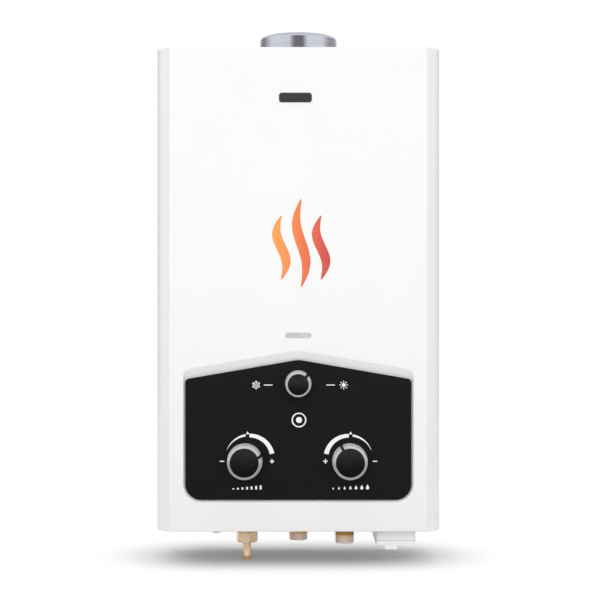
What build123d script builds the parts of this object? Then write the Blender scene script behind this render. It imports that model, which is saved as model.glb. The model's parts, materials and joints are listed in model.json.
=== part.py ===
from build123d import *
import os
from dataclasses import dataclass
from math import asin, atan2, cos, degrees, pi, radians, sin, tan

# Wall-hung tankless gas water heater, in millimetres. X runs to the right, Y towards the wall, Z up.
# The origin is on the wall, midway between the four wall screws and at half the casing's height.

# Casing
CASE_WIDTH = 294.0
CASE_HEIGHT = 500.0
CASE_DEPTH = 130.0
SHEET = 0.8  # thickness of the folded sheet pieces
FIT = 0.3  # gap between pieces that slide together
EDGE_RUN = 14.0  # width of the bevel beside the flat front, seen from the front
EDGE_DEPTH = 12.0
EDGE_RADIUS = 16.0  # round from the bevel into the side
CREASE_RADIUS = 1.0
FOLD_RADIUS = 1.4  # folds at the cover's top and bottom edges
LIP = 12.0  # depth of the cover's top and bottom lips at the front
SIDE_LIP = 8.0
COVER_REAR_GAP = 2.0  # from the cover's rear edge to the wall
BACK_FLANGE = 18.0
PANEL_FLANGE = 14.0  # height of the rear flanges of the top and base panels
PANEL_FLANGE_INSET = 14.0
BEAD_SPACING = 120.0
BEAD_WIDTH = 12.0
BEAD_DEPTH = 2.0
BEAD_LENGTH = 330.0
BEAD_RISE = 30.0
WALL_SPACING_X = 180.0
WALL_SPACING_Z = 410.0
WALL_HOLE_RADIUS = 3.5
LOUVRE_COUNT = 7
LOUVRE_LENGTH = 46.0
LOUVRE_WIDTH = 4.0
LOUVRE_PITCH = 9.0
LOUVRE_DROP = 34.0  # from the casing's top to the highest louvre
AIR_SLOT_LENGTH = 36.0
AIR_SLOT_WIDTH = 5.0
AIR_SLOT_PITCH = 50.0
AIR_SLOT_MARGIN = 29.0  # from the casing's side to the first slot
AIR_BOX_GAP = 13.3  # from the last slot to the battery box
AIR_ROW_FRONT = 18.0  # from the front plane to the front row
AIR_ROW_REAR = 22.0  # from the wall to the rear row

# Control panel and its recess
PANEL_MARGIN = 16.4  # from the edge of the flat front to the panel
PANEL_BOTTOM_HEIGHT = 32.8
PANEL_HEADROOM = 24.3  # from the season knob's axis to the panel's peak
PANEL_PEAK_HEIGHT = 20.1
PANEL_THICKNESS = 3.0
PANEL_CHAMFER = 0.5
PANEL_CORNER_RADIUS = 16.5
PANEL_SHOULDER_RADIUS = 4.0
PANEL_PEAK_RADIUS = 24.0
RECESS_DEPTH = 4.0
RECESS_SLOPE = 2.0  # run of the recess wall at the sides and below
RECESS_TOP_SLOPE = 9.5  # run of the recess wall above the panel
SPINDLE_HOLE_GAP = 1.4

# Viewing window
WINDOW_WIDTH = 27.0
WINDOW_HEIGHT = 5.7
WINDOW_RISE = 15.6  # from the recess's peak to the middle of the window
PANE_MARGIN = 5.0
PANE_THICKNESS = 1.0

# Screws
SCREW_RADIUS = 1.9
SCREW_HEAD_RADIUS = 4.0
SCREW_HEAD_HEIGHT = 2.2
SCREW_LENGTH = 6.0
COVER_SCREW_SPACING = 170.0
CHASSIS_SCREW_INSET = 21.9  # from the flange's end to the screw
HOLE_GAP = 0.1  # between a screw or tube and its hole

# Flue
COLLAR_RADIUS = 41.5
COLLAR_WALL = 1.0
COLLAR_RISE = 20.2  # rim above the casing's top
COLLAR_FLANGE_WIDTH = 7.0
COLLAR_FLANGE_THICKNESS = 1.2
SPIGOT_STEP = 3.5  # the lower spigot is smaller than the collar by this much
NECK_HEIGHT = 12.0
NECK_ENGAGEMENT = 10.0
HOOD_HEIGHT = 44.0
HOOD_TOP_WIDTH = 100.0
HOOD_TOP_INSET = 1.0
HOOD_HEADROOM = 24.9  # from the hood's flat top to the top panel's upper face

# Heat exchanger
SHELL_SIDE_ROOM = 47.0  # from the shell to the casing's side
SHELL_FRONT_ROOM = 21.0  # from the front plane to the shell
SHELL_DEPTH = 88.0
SHELL_RADIUS = 6.0
SHELL_FLANGE = 8.0
FIN_COUNT = 16
FIN_THICKNESS = 0.6
FIN_HEIGHT = 40.0
FIN_DROP = 5.0  # from the shell's top to the fins
FIN_END_GAP = 9.0
TUBE_RADIUS = 6.35
TUBE_WALL = 0.8
TUBE_PITCH = 28.0
TUBE_STUB = 4.0  # tube standing out of the shell
BEND_ROOM = 6.0  # from the shell's side to the middle of the return bends
BEND_STRAIGHT = 0.5
RISER_OFFSET = 18.0  # from the shell's side to the risers
RISER_BEND = 13.0
HOT_RUN_HEIGHT = 120.0
BRACKET_WIDTH = 60.0
BRACKET_HEIGHT = 20.0
BRACKET_RISE_LOW = 30.0
BRACKET_DROP_HIGH = 60.0
CUTOUT_RADIUS = 8.0
CUTOUT_HEIGHT = 6.0
CUTOUT_PLATE_RADIUS = 11.0
CUTOUT_X = 45.0
CUTOUT_DROP = 90.0

# Burner
BURNER_DROP = 2.6  # flame ports below the middle of the window
FLAME_GAP = 25.0  # from the flame ports to the shell
BAR_PITCH = 18.0
BAR_SIDE_ROOM = 10.0  # from the shell's side to the outer bar's share
BAR_HEAD_WIDTH = 9.0
BAR_HEAD_HEIGHT = 10.0
BAR_HEAD_RADIUS = 2.0
BAR_WAIST = 4.0
BAR_REAR_GAP = 5.0
VENTURI_RADIUS = 6.5
VENTURI_BORE = 5.0
VENTURI_BORE_DEPTH = 30.0
VENTURI_DROP = 25.0  # from the flame ports to the venturi's axis
PORT_COUNT = 7
PORT_WIDTH = 2.0
PORT_DEPTH = 4.0
COMB_INSET = 9.0  # from the ends of the bars to the comb plates
FRAME_DROP = 12.0  # from the venturi's axis to the frame's lower edge
FRAME_LUG_HEIGHT = 20.0
FRAME_LUG_WIDTH = 12.0
MANIFOLD_LEAD = 5.0  # manifold in front of the shell
MANIFOLD_DEPTH = 11.0
MANIFOLD_HEIGHT = 14.0
MANIFOLD_RADIUS = 2.0
JET_RADIUS = 3.0
JET_TIP_RADIUS = 1.2
JET_LENGTH = 5.0
JET_GAP = 1.5
ELECTRODE_BARS = 3  # bars outside each electrode
ELECTRODE_RISE = 6.0  # above the flame ports
ELECTRODE_TAB = 8.0
INSULATOR_RADIUS = 2.2
INSULATOR_SHOULDER = 3.2
INSULATOR_SHOULDER_LENGTH = 5.0
INSULATOR_FRONT = 11.0
INSULATOR_REAR = 7.0
ELECTRODE_RADIUS = 0.8
ELECTRODE_LENGTH = 14.0

# Linked gas and water valves
VALVE_DEPTH = 60.0  # from the front plane to the valves' axis
VALVE_HEIGHT = 73.3
GAS_X = -55.0
WATER_KNOB_X = 53.0
COLD_X = 49.5
GAS_BODY_WIDTH = 46.0
GAS_BODY_HALF = 21.0
GAS_BODY_RADIUS = 5.0
GAS_NECK_RADIUS = 10.0
GAS_NECK_LENGTH = 6.0
GAS_CHAMBER_RADIUS = 14.0
GAS_CHAMBER_LENGTH = 14.0
GAS_CHAMBER_WALL = 4.0
BARREL_RADIUS = 11.0
BOSS_RADIUS = 11.0
BOSS_REACH = 31.0  # from the valves' axis to the front of the spindle bosses
TOP_BOSS_RADIUS = 9.0
TOP_BOSS_HEIGHT = 7.0
SOCKET_DEPTH = 6.0
SOLENOID_RADIUS = 13.0
SOLENOID_FLANGE_RADIUS = 16.0
SOLENOID_FLANGE = 3.0
SOLENOID_LENGTH = 26.0
SOLENOID_CAP_RADIUS = 8.0
SOLENOID_CAP = 4.0
WATER_BODY_START = 28.0  # diaphragm face of the water body, from the middle
WATER_BODY_END = 70.0
WATER_BODY_RADIUS = 17.0
WATER_OUTLET_RADIUS = 11.0
WATER_OUTLET_LENGTH = 9.0
COLD_BARREL_RADIUS = 13.0
DISC_RADIUS = 34.0
DISC_THICKNESS = 8.0
DISC_CHAMBER_RADIUS = 25.0
WATER_CHAMBER_DEPTH = 5.0
COVER_DISC_THICKNESS = 10.0
COVER_CHAMBER_DEPTH = 8.0
COVER_NECK_RADIUS = 9.0
COVER_NECK_LENGTH = 22.0
DIAPHRAGM_THICKNESS = 1.6
PLATE_RADIUS = 20.0
PLATE_THICKNESS = 2.0
ROD_RADIUS = 2.5
ROD_GAP = 0.08
ROD_COLLAR_RADIUS = 9.0
ROD_COLLAR_THICKNESS = 2.0
SPRING_ROOM = 9.0  # from the gas neck to the rod's collar
SPRING_WIRE = 0.45
SPRING_RADIUS = 4.2
SPRING_TURNS = 4
VALVE_DISC_RADIUS = 12.0
VALVE_DISC_THICKNESS = 3.0
VALVE_SCREW_COUNT = 6
VALVE_SCREW_CIRCLE = 29.5
STRAP_WIDTH = 16.0
STRAP_THICKNESS = 2.0
STRAP_RISE = 16.0
SWITCH_LENGTH = 20.0
SWITCH_WIDTH = 10.0
SWITCH_HEIGHT = 10.0
LEVER_THICKNESS = 0.8
LEVER_TIP_RISE = 6.2  # lever's tip above the rod's axis
LEVER_PIVOT_RISE = 4.0  # pivot above the strap
LEVER_BARREL = 1.4
LEVER_PIN = 0.7
LEVER_EAR = 1.2
LEVER_SWING_ROOM = 6.5
LEVER_HEEL = 7.5  # heel above the pivot, which works the switch
LEVER_HEEL_THICKNESS = 2.2
LEVER_HEEL_ROOM = 3.0  # from the lever's middle to the switch
PIVOT_GAP = 0.05  # running fit of pins and spindles
GAS_PIPE_RADIUS = 6.0
GAS_PIPE_WALL = 1.0
GAS_PIPE_LEG = 8.0  # pipe standing out of each socket before it bends
GAS_PIPE_BEND = 10.0

# Season valve
SEASON_HEIGHT = 153.0
SEASON_BODY_WIDTH = 26.0
SEASON_BODY_DROP = 13.0
SEASON_BODY_REAR = 9.0  # body behind the manifold
SEASON_BOSS = 2.0
SEASON_INLET_BOSS = 4.0

# Knobs and spindles
SPINDLE_RADIUS = 3.0
SPINDLE_FLAT = 2.0  # from the axis to the spindle's flat
SPINDLE_SEAT = 12.0  # spindle inside its valve boss
SPINDLE_GRIP = 12.0  # spindle inside its knob
GLAND_FLATS = 17.0
GLAND_LENGTH = 5.0
KNOB_GAP = 0.6
KNOB_FLANGE = 2.0
KNOB_FLANGE_INSET = 0.8
KNOB_HEIGHT = 24.0
KNOB_DOME = 0.8
KNOB_EDGE_RADIUS = 1.5
KNOB_RING_HEIGHT = 19.3
KNOB_RING_TAPER = 0.9
RING_BEVEL_HEIGHT = 1.3
RING_LIP = 0.4  # flat of the ring beside the cap
KNURL_DEPTH = 0.45
KNURL_PITCH = 1.95
POINTER_WIDTH = 3.0
POINTER_PROUD = 0.25
LOWER_KNOB_RADIUS = 18.4
LOWER_CAP_RADIUS = 14.8
SEASON_KNOB_RADIUS = 13.8
SEASON_CAP_RADIUS = 10.8
GAS_POINTER = 69.0  # clockwise from straight up, in degrees
WATER_POINTER = -29.0
SEASON_POINTER = 46.0

# Pipe fittings below the casing
HOT_DEPTH = 81.0  # from the front plane to the hot outlet's axis
THREAD_RADIUS = 10.48
THREAD_DROP = 21.0
SHANK_STEP = 0.3  # the shank inside the locknut is smaller than the thread
WATER_BORE = 7.0
FITTING_FLATS = 27.0
FITTING_HEX = 8.0
FITTING_SPIGOT_RADIUS = 9.0
FITTING_SPIGOT = 10.0
LOCKNUT_FLATS = 30.0
LOCKNUT_THICKNESS = 6.0
FILTER_RADIUS = 6.8
FILTER_WALL = 0.5
FILTER_LENGTH = 16.0
GAS_STUB_RADIUS = 8.0
GAS_STUB_BORE = 4.5
GAS_STUB_DROP = 14.0
GAS_LOCKNUT_FLATS = 24.0
UNION_FLATS = 20.5
UNION_START = 8.0  # union nut's upper face below the casing
UNION_END = 20.3
UNION_CHAMFER = 2.8
NIPPLE_END = 39.8
NIPPLE_HEAD_RADIUS = 7.4
NIPPLE_HEAD = 3.0
NIPPLE_RADIUS = 4.3
NIPPLE_WAIST = 4.0
NIPPLE_BARB = 4.8
NIPPLE_BARB_LENGTH = 5.0
NIPPLE_TIP = 4.0
NIPPLE_BORE = 2.5

# Battery box and igniter
BATTERY_SIDE_ROOM = 45.0  # from the casing's side to the middle of the box
BATTERY_SETBACK = 22.0  # from the front plane to the box
CELL_DIAMETER = 34.2
CELL_LENGTH = 61.5
CELL_NUB_RADIUS = 4.75
CELL_NUB = 1.5
CELL_GAP = 1.6
BOX_WALL = 2.0
BOX_DROP = 12.5
BOX_FLANGE = 4.0
BOX_ROOM = 5.0  # above the cells, for the contacts
LID_THICKNESS = 4.0
LID_RADIUS = 3.0
TAB_SHIFT = -5.0  # finger tab from the middle of the box
TAB_WIDTH = 13.0
TAB_DEPTH = 6.0
TAB_DROP = 5.0
HINGE_BARREL = 2.4
HINGE_PIN = 1.2
HINGE_EAR = 3.0
HINGE_EAR_WALL = 1.3
HINGE_DROP = 2.0  # hinge axis below the box's rim
LATCH_HEIGHT = 3.5
LATCH_WIDTH = 14.0
LATCH_DEPTH = 0.8
LATCH_GAP = 0.45
CONTACT_THICKNESS = 0.5
CONTACT_WIDTH = 12.0
CONTACT_LENGTH = 22.0
IGNITER_SIDE_ROOM = 42.0  # from the casing's side to the middle of the igniter
IGNITER_WIDTH = 58.0
IGNITER_DEPTH = 24.0
IGNITER_HEIGHT = 60.0
IGNITER_GAP = 11.8  # from the terminals to the burner frame
IGNITER_RADIUS = 3.0
TERMINAL_COUNT = 4
TERMINAL_PITCH = 11.0
TERMINAL_WIDTH = 6.0
TERMINAL_THICKNESS = 0.8
TERMINAL_HEIGHT = 7.0

# Planes and levels that follow from the sizes
CASE_BOTTOM = -CASE_HEIGHT / 2
CASE_TOP = CASE_HEIGHT / 2
FRONT = -CASE_DEPTH
FACE_WIDTH = CASE_WIDTH - 2 * EDGE_RUN
COVER_INNER = FRONT + SHEET
BACK_INNER = -SHEET
BACK_HALF = CASE_WIDTH / 2 - SHEET - FIT
FLANGE_HALF = BACK_HALF - PANEL_FLANGE_INSET
PLATE_BOTTOM = CASE_BOTTOM + SHEET + FIT
PLATE_TOP = CASE_TOP - SHEET - FIT
BASE_TOP = PLATE_BOTTOM + SHEET
RECESS_FLOOR = FRONT + RECESS_DEPTH
RECESS_BACK = RECESS_FLOOR + SHEET
PANEL_FACE = RECESS_FLOOR - PANEL_THICKNESS
PANEL_HALF = FACE_WIDTH / 2 - PANEL_MARGIN
PANEL_BOTTOM = CASE_BOTTOM + PANEL_BOTTOM_HEIGHT
SEASON_Z = CASE_BOTTOM + SEASON_HEIGHT
PANEL_PEAK = SEASON_Z + PANEL_HEADROOM
PANEL_SHOULDER = PANEL_PEAK - PANEL_PEAK_HEIGHT
WINDOW_Z = PANEL_PEAK + RECESS_TOP_SLOPE + WINDOW_RISE
FLUE_Y = FRONT + SHELL_FRONT_ROOM + SHELL_DEPTH / 2
SPIGOT_RADIUS = COLLAR_RADIUS - SPIGOT_STEP
HOOD_TOP = PLATE_TOP - HOOD_HEADROOM
HOOD_BOTTOM = HOOD_TOP - HOOD_HEIGHT
SHELL_WIDTH = CASE_WIDTH - 2 * SHELL_SIDE_ROOM
SHELL_HALF = SHELL_WIDTH / 2
SHELL_FRONT = FLUE_Y - SHELL_DEPTH / 2
SHELL_BACK = FLUE_Y + SHELL_DEPTH / 2
BURNER_TOP = WINDOW_Z - BURNER_DROP
SHELL_BOTTOM = BURNER_TOP + FLAME_GAP
FIN_TOP = HOOD_BOTTOM - FIN_DROP
TUBE_Z = FIN_TOP - FIN_HEIGHT / 2
TUBE_ROWS = [FLUE_Y + row * TUBE_PITCH for row in (-1, 0, 1)]
RISER_X = SHELL_HALF + RISER_OFFSET
VENTURI_Z = BURNER_TOP - VENTURI_DROP
FRAME_BOTTOM = VENTURI_Z - FRAME_DROP
MANIFOLD_FRONT = SHELL_FRONT - MANIFOLD_LEAD
MANIFOLD_BACK = MANIFOLD_FRONT + MANIFOLD_DEPTH
MANIFOLD_BOTTOM = VENTURI_Z - MANIFOLD_HEIGHT / 2
BAR_FRONT = MANIFOLD_BACK + JET_LENGTH + JET_GAP
BAR_BACK = SHELL_BACK - BAR_REAR_GAP
BAR_HEAD_BOTTOM = BURNER_TOP - BAR_HEAD_HEIGHT
ELECTRODE_Z = BURNER_TOP + ELECTRODE_RISE
COMB_FRONT = BAR_FRONT + COMB_INSET
VALVE_Y = FRONT + VALVE_DEPTH
VALVE_Z = CASE_BOTTOM + VALVE_HEIGHT
BOSS_FRONT = VALVE_Y - BOSS_REACH
SEASON_BOSS_FRONT = MANIFOLD_FRONT - SEASON_BOSS
SEASON_Y = MANIFOLD_FRONT + (MANIFOLD_DEPTH + SEASON_BODY_REAR) / 2
SEASON_INLET_Z = SEASON_Z - SEASON_BODY_DROP - SEASON_INLET_BOSS
GAS_BODY_RIGHT = GAS_X + GAS_BODY_WIDTH / 2
GAS_BODY_LEFT = GAS_X - GAS_BODY_WIDTH / 2
GAS_NECK_END = GAS_BODY_RIGHT + GAS_NECK_LENGTH
GAS_TOP = VALVE_Z + GAS_BODY_HALF + TOP_BOSS_HEIGHT
CHAMBER_RIGHT = GAS_BODY_RIGHT - GAS_CHAMBER_WALL
DIAPHRAGM_LEFT = WATER_BODY_START - DIAPHRAGM_THICKNESS
COVER_DISC_LEFT = DIAPHRAGM_LEFT - COVER_DISC_THICKNESS
PLATE_LEFT = DIAPHRAGM_LEFT - PLATE_THICKNESS
COLLAR_LEFT = GAS_NECK_END + SPRING_ROOM
WATER_OUTLET_END = WATER_BODY_END + WATER_OUTLET_LENGTH
STRAP_BOTTOM = VALVE_Z + STRAP_RISE
STRAP_TOP = STRAP_BOTTOM + STRAP_THICKNESS
LEVER_RIGHT = COLLAR_LEFT - FIT
LEVER_X = LEVER_RIGHT - LEVER_THICKNESS / 2
LEVER_PIVOT_Z = STRAP_TOP + LEVER_PIVOT_RISE
SWITCH_LEFT = LEVER_X + LEVER_HEEL_ROOM
HOT_Y = FRONT + HOT_DEPTH
FITTING_TOP = BASE_TOP + FITTING_HEX
KNOB_REAR = PANEL_FACE - KNOB_GAP
BEVEL_START = KNOB_FLANGE + KNOB_RING_HEIGHT
RING_FRONT = BEVEL_START + RING_BEVEL_HEIGHT
BOX_WIDTH = CELL_DIAMETER + 2 * CELL_GAP + 2 * BOX_WALL
BOX_DEPTH = 2 * CELL_DIAMETER + 3 * CELL_GAP + 2 * BOX_WALL
BATTERY_X = CASE_WIDTH / 2 - BATTERY_SIDE_ROOM
BOX_LEFT = BATTERY_X - BOX_WIDTH / 2
BOX_RIGHT = BATTERY_X + BOX_WIDTH / 2
BOX_FRONT = FRONT + BATTERY_SETBACK
BOX_REAR = BOX_FRONT + BOX_DEPTH
BOX_BOTTOM = CASE_BOTTOM - BOX_DROP
BOX_INNER_TOP = BOX_BOTTOM + CELL_LENGTH + BOX_ROOM
BOX_TOP = BOX_INNER_TOP + BOX_WALL
CELL_ROWS = [BOX_FRONT + BOX_WALL + CELL_GAP + CELL_DIAMETER / 2,
             BOX_REAR - BOX_WALL - CELL_GAP - CELL_DIAMETER / 2]
CELL_BOTTOM = BOX_BOTTOM + CONTACT_THICKNESS + FIT
TAB_X = BATTERY_X + TAB_SHIFT
HINGE_Y = BOX_REAR + HINGE_BARREL + FIT
HINGE_Z = BOX_BOTTOM - HINGE_DROP
NEAR = 1e-3  # tolerance when corners are picked by their place
BASE_ALIGN = (Align.CENTER, Align.CENTER, Align.MIN)


# General shapes
def whole(room, pitch):
    """Whole number of pitches that fit in a room."""
    return int(room / pitch + NEAR)


def block(x0, x1, y0, y1, z0, z1):
    """Box between two opposite corners."""
    middle = Pos((x0 + x1) / 2, (y0 + y1) / 2, (z0 + z1) / 2)
    return middle * Box(abs(x1 - x0), abs(y1 - y0), abs(z1 - z0))


def rod(start, end, radius):
    """Round bar between two points."""
    run = Vector(*end) - Vector(*start)
    return Plane(start, z_dir=run) * Cylinder(radius, run.length, align=BASE_ALIGN)


def cone(start, end, radius, end_radius):
    """Tapered round bar between two points."""
    run = Vector(*end) - Vector(*start)
    return Plane(start, z_dir=run) * Cone(radius, end_radius, run.length, align=BASE_ALIGN)


def hexagon(start, end, flats):
    """Hexagonal bar between two points, given the size across its flats."""
    run = Vector(*end) - Vector(*start)
    outline = RegularPolygon(flats / 2, 6, major_radius=False)
    return Plane(start, z_dir=run) * extrude(outline, run.length)


def facing_front(x, y, z):
    """Plane that faces the viewer, with its own x to the right and its own y up."""
    return Plane((x, y, z), x_dir=(1, 0, 0), z_dir=(0, -1, 0))


def pipe(points, radius, wall, bend):
    """Bent tube along straight runs joined by tangent arcs."""
    path = FilletPolyline(*points, radius=bend)
    section = Circle(radius) - Circle(radius - wall)
    return sweep(Plane(path @ 0, z_dir=path % 0) * section, path)


def turned(points):
    """Solid of revolution about Z from points given as radius and height."""
    return revolve(Plane.XZ * make_face(Polyline(*points, close=True)), Axis.Z)


def screw(head_top, direction, length):
    """Pan-head screw whose head's outer face is at a point, with its shank along a direction."""
    head_end = Vector(*head_top) + Vector(*direction) * SCREW_HEAD_HEIGHT
    tip = head_end + Vector(*direction) * length
    head = rod(head_top, tuple(head_end), SCREW_HEAD_RADIUS)
    return head + rod(tuple(head_end), tuple(tip), SCREW_RADIUS)


# Casing
def case_outline(inset, rear):
    """Plan of the casing, drawn in by an inset on the front and sides and closed at the rear."""
    turn = atan2(EDGE_DEPTH, EDGE_RUN)
    half_side = CASE_WIDTH / 2 - inset
    half_face = FACE_WIDTH / 2 - inset * tan(turn / 2)
    face_y = FRONT + inset
    side_y = FRONT + EDGE_DEPTH + inset * tan((pi / 2 - turn) / 2)
    outline = make_face(Polyline(
        (-half_side, rear), (-half_side, side_y), (-half_face, face_y),
        (half_face, face_y), (half_side, side_y), (half_side, rear), close=True))
    side_corners = [v for v in outline.vertices() if abs(v.Y - side_y) < NEAR]
    outline = fillet(side_corners, EDGE_RADIUS - inset)
    creases = [v for v in outline.vertices() if abs(v.Y - face_y) < NEAR]
    return fillet(creases, CREASE_RADIUS)


def folded_form(inset, rear):
    """Casing's solid form, drawn in all round, with its top and bottom edges rounded as they fold."""
    form = Pos(0, 0, CASE_BOTTOM + inset) * extrude(case_outline(inset, rear), CASE_HEIGHT - 2 * inset)
    ends = form.edges().group_by(Axis.Z)
    rims = [edge for edge in ends[0] + ends[-1] if edge.center().Y < rear - NEAR]
    return fillet(rims, FOLD_RADIUS - inset)


def panel_outline(side_grow, top_grow, shoulder_radius):
    """Five-sided outline of the control panel, grown at the sides and below, and above."""
    half = PANEL_HALF + side_grow
    low = PANEL_BOTTOM - side_grow
    shoulder = PANEL_SHOULDER + top_grow
    peak = PANEL_PEAK + top_grow
    outline = make_face(Polyline((-half, low), (half, low), (half, shoulder), (0, peak),
                                 (-half, shoulder), close=True))
    outline = fillet([v for v in outline.vertices() if abs(v.Y - low) < NEAR], PANEL_CORNER_RADIUS + side_grow)
    outline = fillet([v for v in outline.vertices() if abs(v.Y - shoulder) < NEAR], shoulder_radius)
    return fillet([v for v in outline.vertices() if abs(v.Y - peak) < NEAR], PANEL_PEAK_RADIUS)


def recess_form(grow, depth):
    """Sloping-walled hollow from the front plane to a depth, grown all round."""
    mouth = panel_outline(FIT + RECESS_SLOPE + grow, FIT + RECESS_TOP_SLOPE + grow,
                          PANEL_SHOULDER_RADIUS + RECESS_TOP_SLOPE / 2)
    floor = panel_outline(FIT + grow, FIT + grow, PANEL_SHOULDER_RADIUS)
    return loft([facing_front(0, FRONT, 0) * mouth, facing_front(0, FRONT + depth, 0) * floor], ruled=True)


def knob_places():
    """Axes of the three controls: season, gas and water."""
    return [(0, SEASON_Z), (GAS_X, VALVE_Z), (WATER_KNOB_X, VALVE_Z)]


def cover_screw_places():
    """Places of the screws in the cover's bottom lip."""
    return [(side * COVER_SCREW_SPACING / 2, FRONT + LIP / 2) for side in (-1, 1)]


def front_cover():
    """Pressed cover: flat front with bevelled sides, panel recess, window slot, louvres and lips."""
    cover = folded_form(0, -COVER_REAR_GAP)
    cover -= folded_form(SHEET, 0)
    opening_half = CASE_WIDTH / 2 - SIDE_LIP
    cover -= block(-opening_half, opening_half, FRONT + LIP, 0, CASE_BOTTOM - SHEET, CASE_TOP + SHEET)
    cover += recess_form(SHEET, RECESS_DEPTH + SHEET)
    cover -= recess_form(0, RECESS_DEPTH)
    for x, z in knob_places():
        cover -= rod((x, RECESS_BACK, z), (x, FRONT, z), SPINDLE_RADIUS + 2 * SPINDLE_HOLE_GAP)
    slot = SlotOverall(WINDOW_WIDTH, WINDOW_HEIGHT)
    cover -= facing_front(0, COVER_INNER, WINDOW_Z) * extrude(slot, SHEET)
    side_slot = SlotOverall(LOUVRE_LENGTH, LOUVRE_WIDTH)
    for row in range(LOUVRE_COUNT):
        z = CASE_TOP - LOUVRE_DROP - row * LOUVRE_PITCH
        through = Plane((-CASE_WIDTH / 2, FLUE_Y, z), x_dir=(0, 1, 0), z_dir=(1, 0, 0))
        cover -= through * extrude(side_slot, CASE_WIDTH)
    for x, y in cover_screw_places():
        cover -= rod((x, y, CASE_BOTTOM), (x, y, CASE_BOTTOM + SHEET), SCREW_RADIUS + HOLE_GAP)
    return cover


def control_panel():
    """Five-sided fascia that lies in the cover's recess, with holes for the spindles."""
    panel = facing_front(0, RECESS_FLOOR, 0) * extrude(panel_outline(0, 0, PANEL_SHOULDER_RADIUS), PANEL_THICKNESS)
    panel = chamfer(panel.faces().sort_by(Axis.Y)[0].edges(), PANEL_CHAMFER)
    for x, z in knob_places():
        panel -= rod((x, RECESS_FLOOR, z), (x, PANEL_FACE, z), SPINDLE_RADIUS + SPINDLE_HOLE_GAP)
    return panel


def flame_window():
    """Mica pane against the inside of the cover, behind the viewing slot."""
    half_width = WINDOW_WIDTH / 2 + PANE_MARGIN
    half_height = WINDOW_HEIGHT / 2 + PANE_MARGIN
    return block(-half_width, half_width, COVER_INNER, COVER_INNER + PANE_THICKNESS,
                 WINDOW_Z - half_height, WINDOW_Z + half_height)


def chassis_screw_places():
    """Places of the screws through the rear flanges of the top and base panels."""
    half = PANEL_FLANGE / 2
    return [(side * (FLANGE_HALF - CHASSIS_SCREW_INSET), z) for side in (-1, 1)
            for z in (PLATE_BOTTOM + half, PLATE_TOP - half)]


def back_plate():
    """Back sheet with side flanges, two pressed beads and the wall holes."""
    plate = block(-BACK_HALF, BACK_HALF, BACK_INNER, 0, PLATE_BOTTOM, PLATE_TOP)
    for side in (-1, 1):
        plate += block(side * BACK_HALF, side * (BACK_HALF - SHEET), -BACK_FLANGE, 0,
                       BASE_TOP + FIT, PLATE_TOP - SHEET - FIT)
        bead = Rot(0, 0, 90) * SlotOverall(BEAD_LENGTH, BEAD_WIDTH)
        hollow = Rot(0, 0, 90) * SlotOverall(BEAD_LENGTH - 2 * SHEET, BEAD_WIDTH - 2 * SHEET)
        plate += facing_front(side * BEAD_SPACING / 2, BACK_INNER, BEAD_RISE) * extrude(bead, BEAD_DEPTH)
        plate -= facing_front(side * BEAD_SPACING / 2, 0, BEAD_RISE) * extrude(hollow, BEAD_DEPTH)
        for level in (-1, 1):
            x = side * WALL_SPACING_X / 2
            z = level * WALL_SPACING_Z / 2
            plate -= rod((x, BACK_INNER, z), (x, 0, z), WALL_HOLE_RADIUS)
    for x, z in chassis_screw_places():
        plate -= rod((x, BACK_INNER, z), (x, 0, z), SCREW_RADIUS + HOLE_GAP)
    return plate


def flanged_panel(bottom, flange_bottom):
    """Level sheet inside the cover with a rear flange against the back plate."""
    panel = Pos(0, 0, bottom) * extrude(case_outline(SHEET + FIT, BACK_INNER), SHEET)
    panel += block(-FLANGE_HALF, FLANGE_HALF, BACK_INNER - SHEET, BACK_INNER,
                   flange_bottom, flange_bottom + PANEL_FLANGE)
    for x, z in chassis_screw_places():
        panel -= rod((x, BACK_INNER - SHEET, z), (x, BACK_INNER, z), SCREW_RADIUS + HOLE_GAP)
    return panel


def top_panel():
    """Top of the chassis, with the hole for the flue collar."""
    panel = flanged_panel(PLATE_TOP - SHEET, PLATE_TOP - PANEL_FLANGE)
    return panel - rod((0, FLUE_Y, PLATE_TOP - SHEET), (0, FLUE_Y, PLATE_TOP), SPIGOT_RADIUS + FIT)


def base_plate():
    """Floor of the chassis, with holes for the fittings and battery box and slots for the air."""
    base = flanged_panel(PLATE_BOTTOM, PLATE_BOTTOM)
    shank = THREAD_RADIUS - SHANK_STEP
    for x, y, radius in ((GAS_X, VALVE_Y, GAS_STUB_RADIUS), (0, HOT_Y, shank), (COLD_X, VALVE_Y, shank)):
        base -= rod((x, y, PLATE_BOTTOM), (x, y, BASE_TOP), radius + FIT)
    base -= block(BOX_LEFT - FIT, BOX_RIGHT + FIT, BOX_FRONT - FIT, BOX_REAR + FIT, PLATE_BOTTOM, BASE_TOP)
    first = -CASE_WIDTH / 2 + AIR_SLOT_MARGIN + AIR_SLOT_LENGTH / 2
    last = BOX_LEFT - AIR_BOX_GAP - AIR_SLOT_LENGTH / 2
    for column in range(whole(last - first, AIR_SLOT_PITCH) + 1):
        x = first + column * AIR_SLOT_PITCH
        for y in (FRONT + AIR_ROW_FRONT, -AIR_ROW_REAR):
            base -= Pos(x, y, PLATE_BOTTOM) * extrude(SlotOverall(AIR_SLOT_LENGTH, AIR_SLOT_WIDTH), SHEET)
    for x, y in cover_screw_places():
        base -= rod((x, y, PLATE_BOTTOM), (x, y, BASE_TOP), SCREW_RADIUS + HOLE_GAP)
    return base


def casing_screws():
    """Screws of the cover's lip and of the chassis flanges."""
    screws = [screw((x, y, CASE_BOTTOM - SCREW_HEAD_HEIGHT), (0, 0, 1), SCREW_LENGTH)
              for x, y in cover_screw_places()]
    head_face = BACK_INNER - SHEET - SCREW_HEAD_HEIGHT
    screws += [screw((x, head_face, z), (0, 1, 0), 2 * SHEET) for x, z in chassis_screw_places()]
    return Compound(screws)


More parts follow.
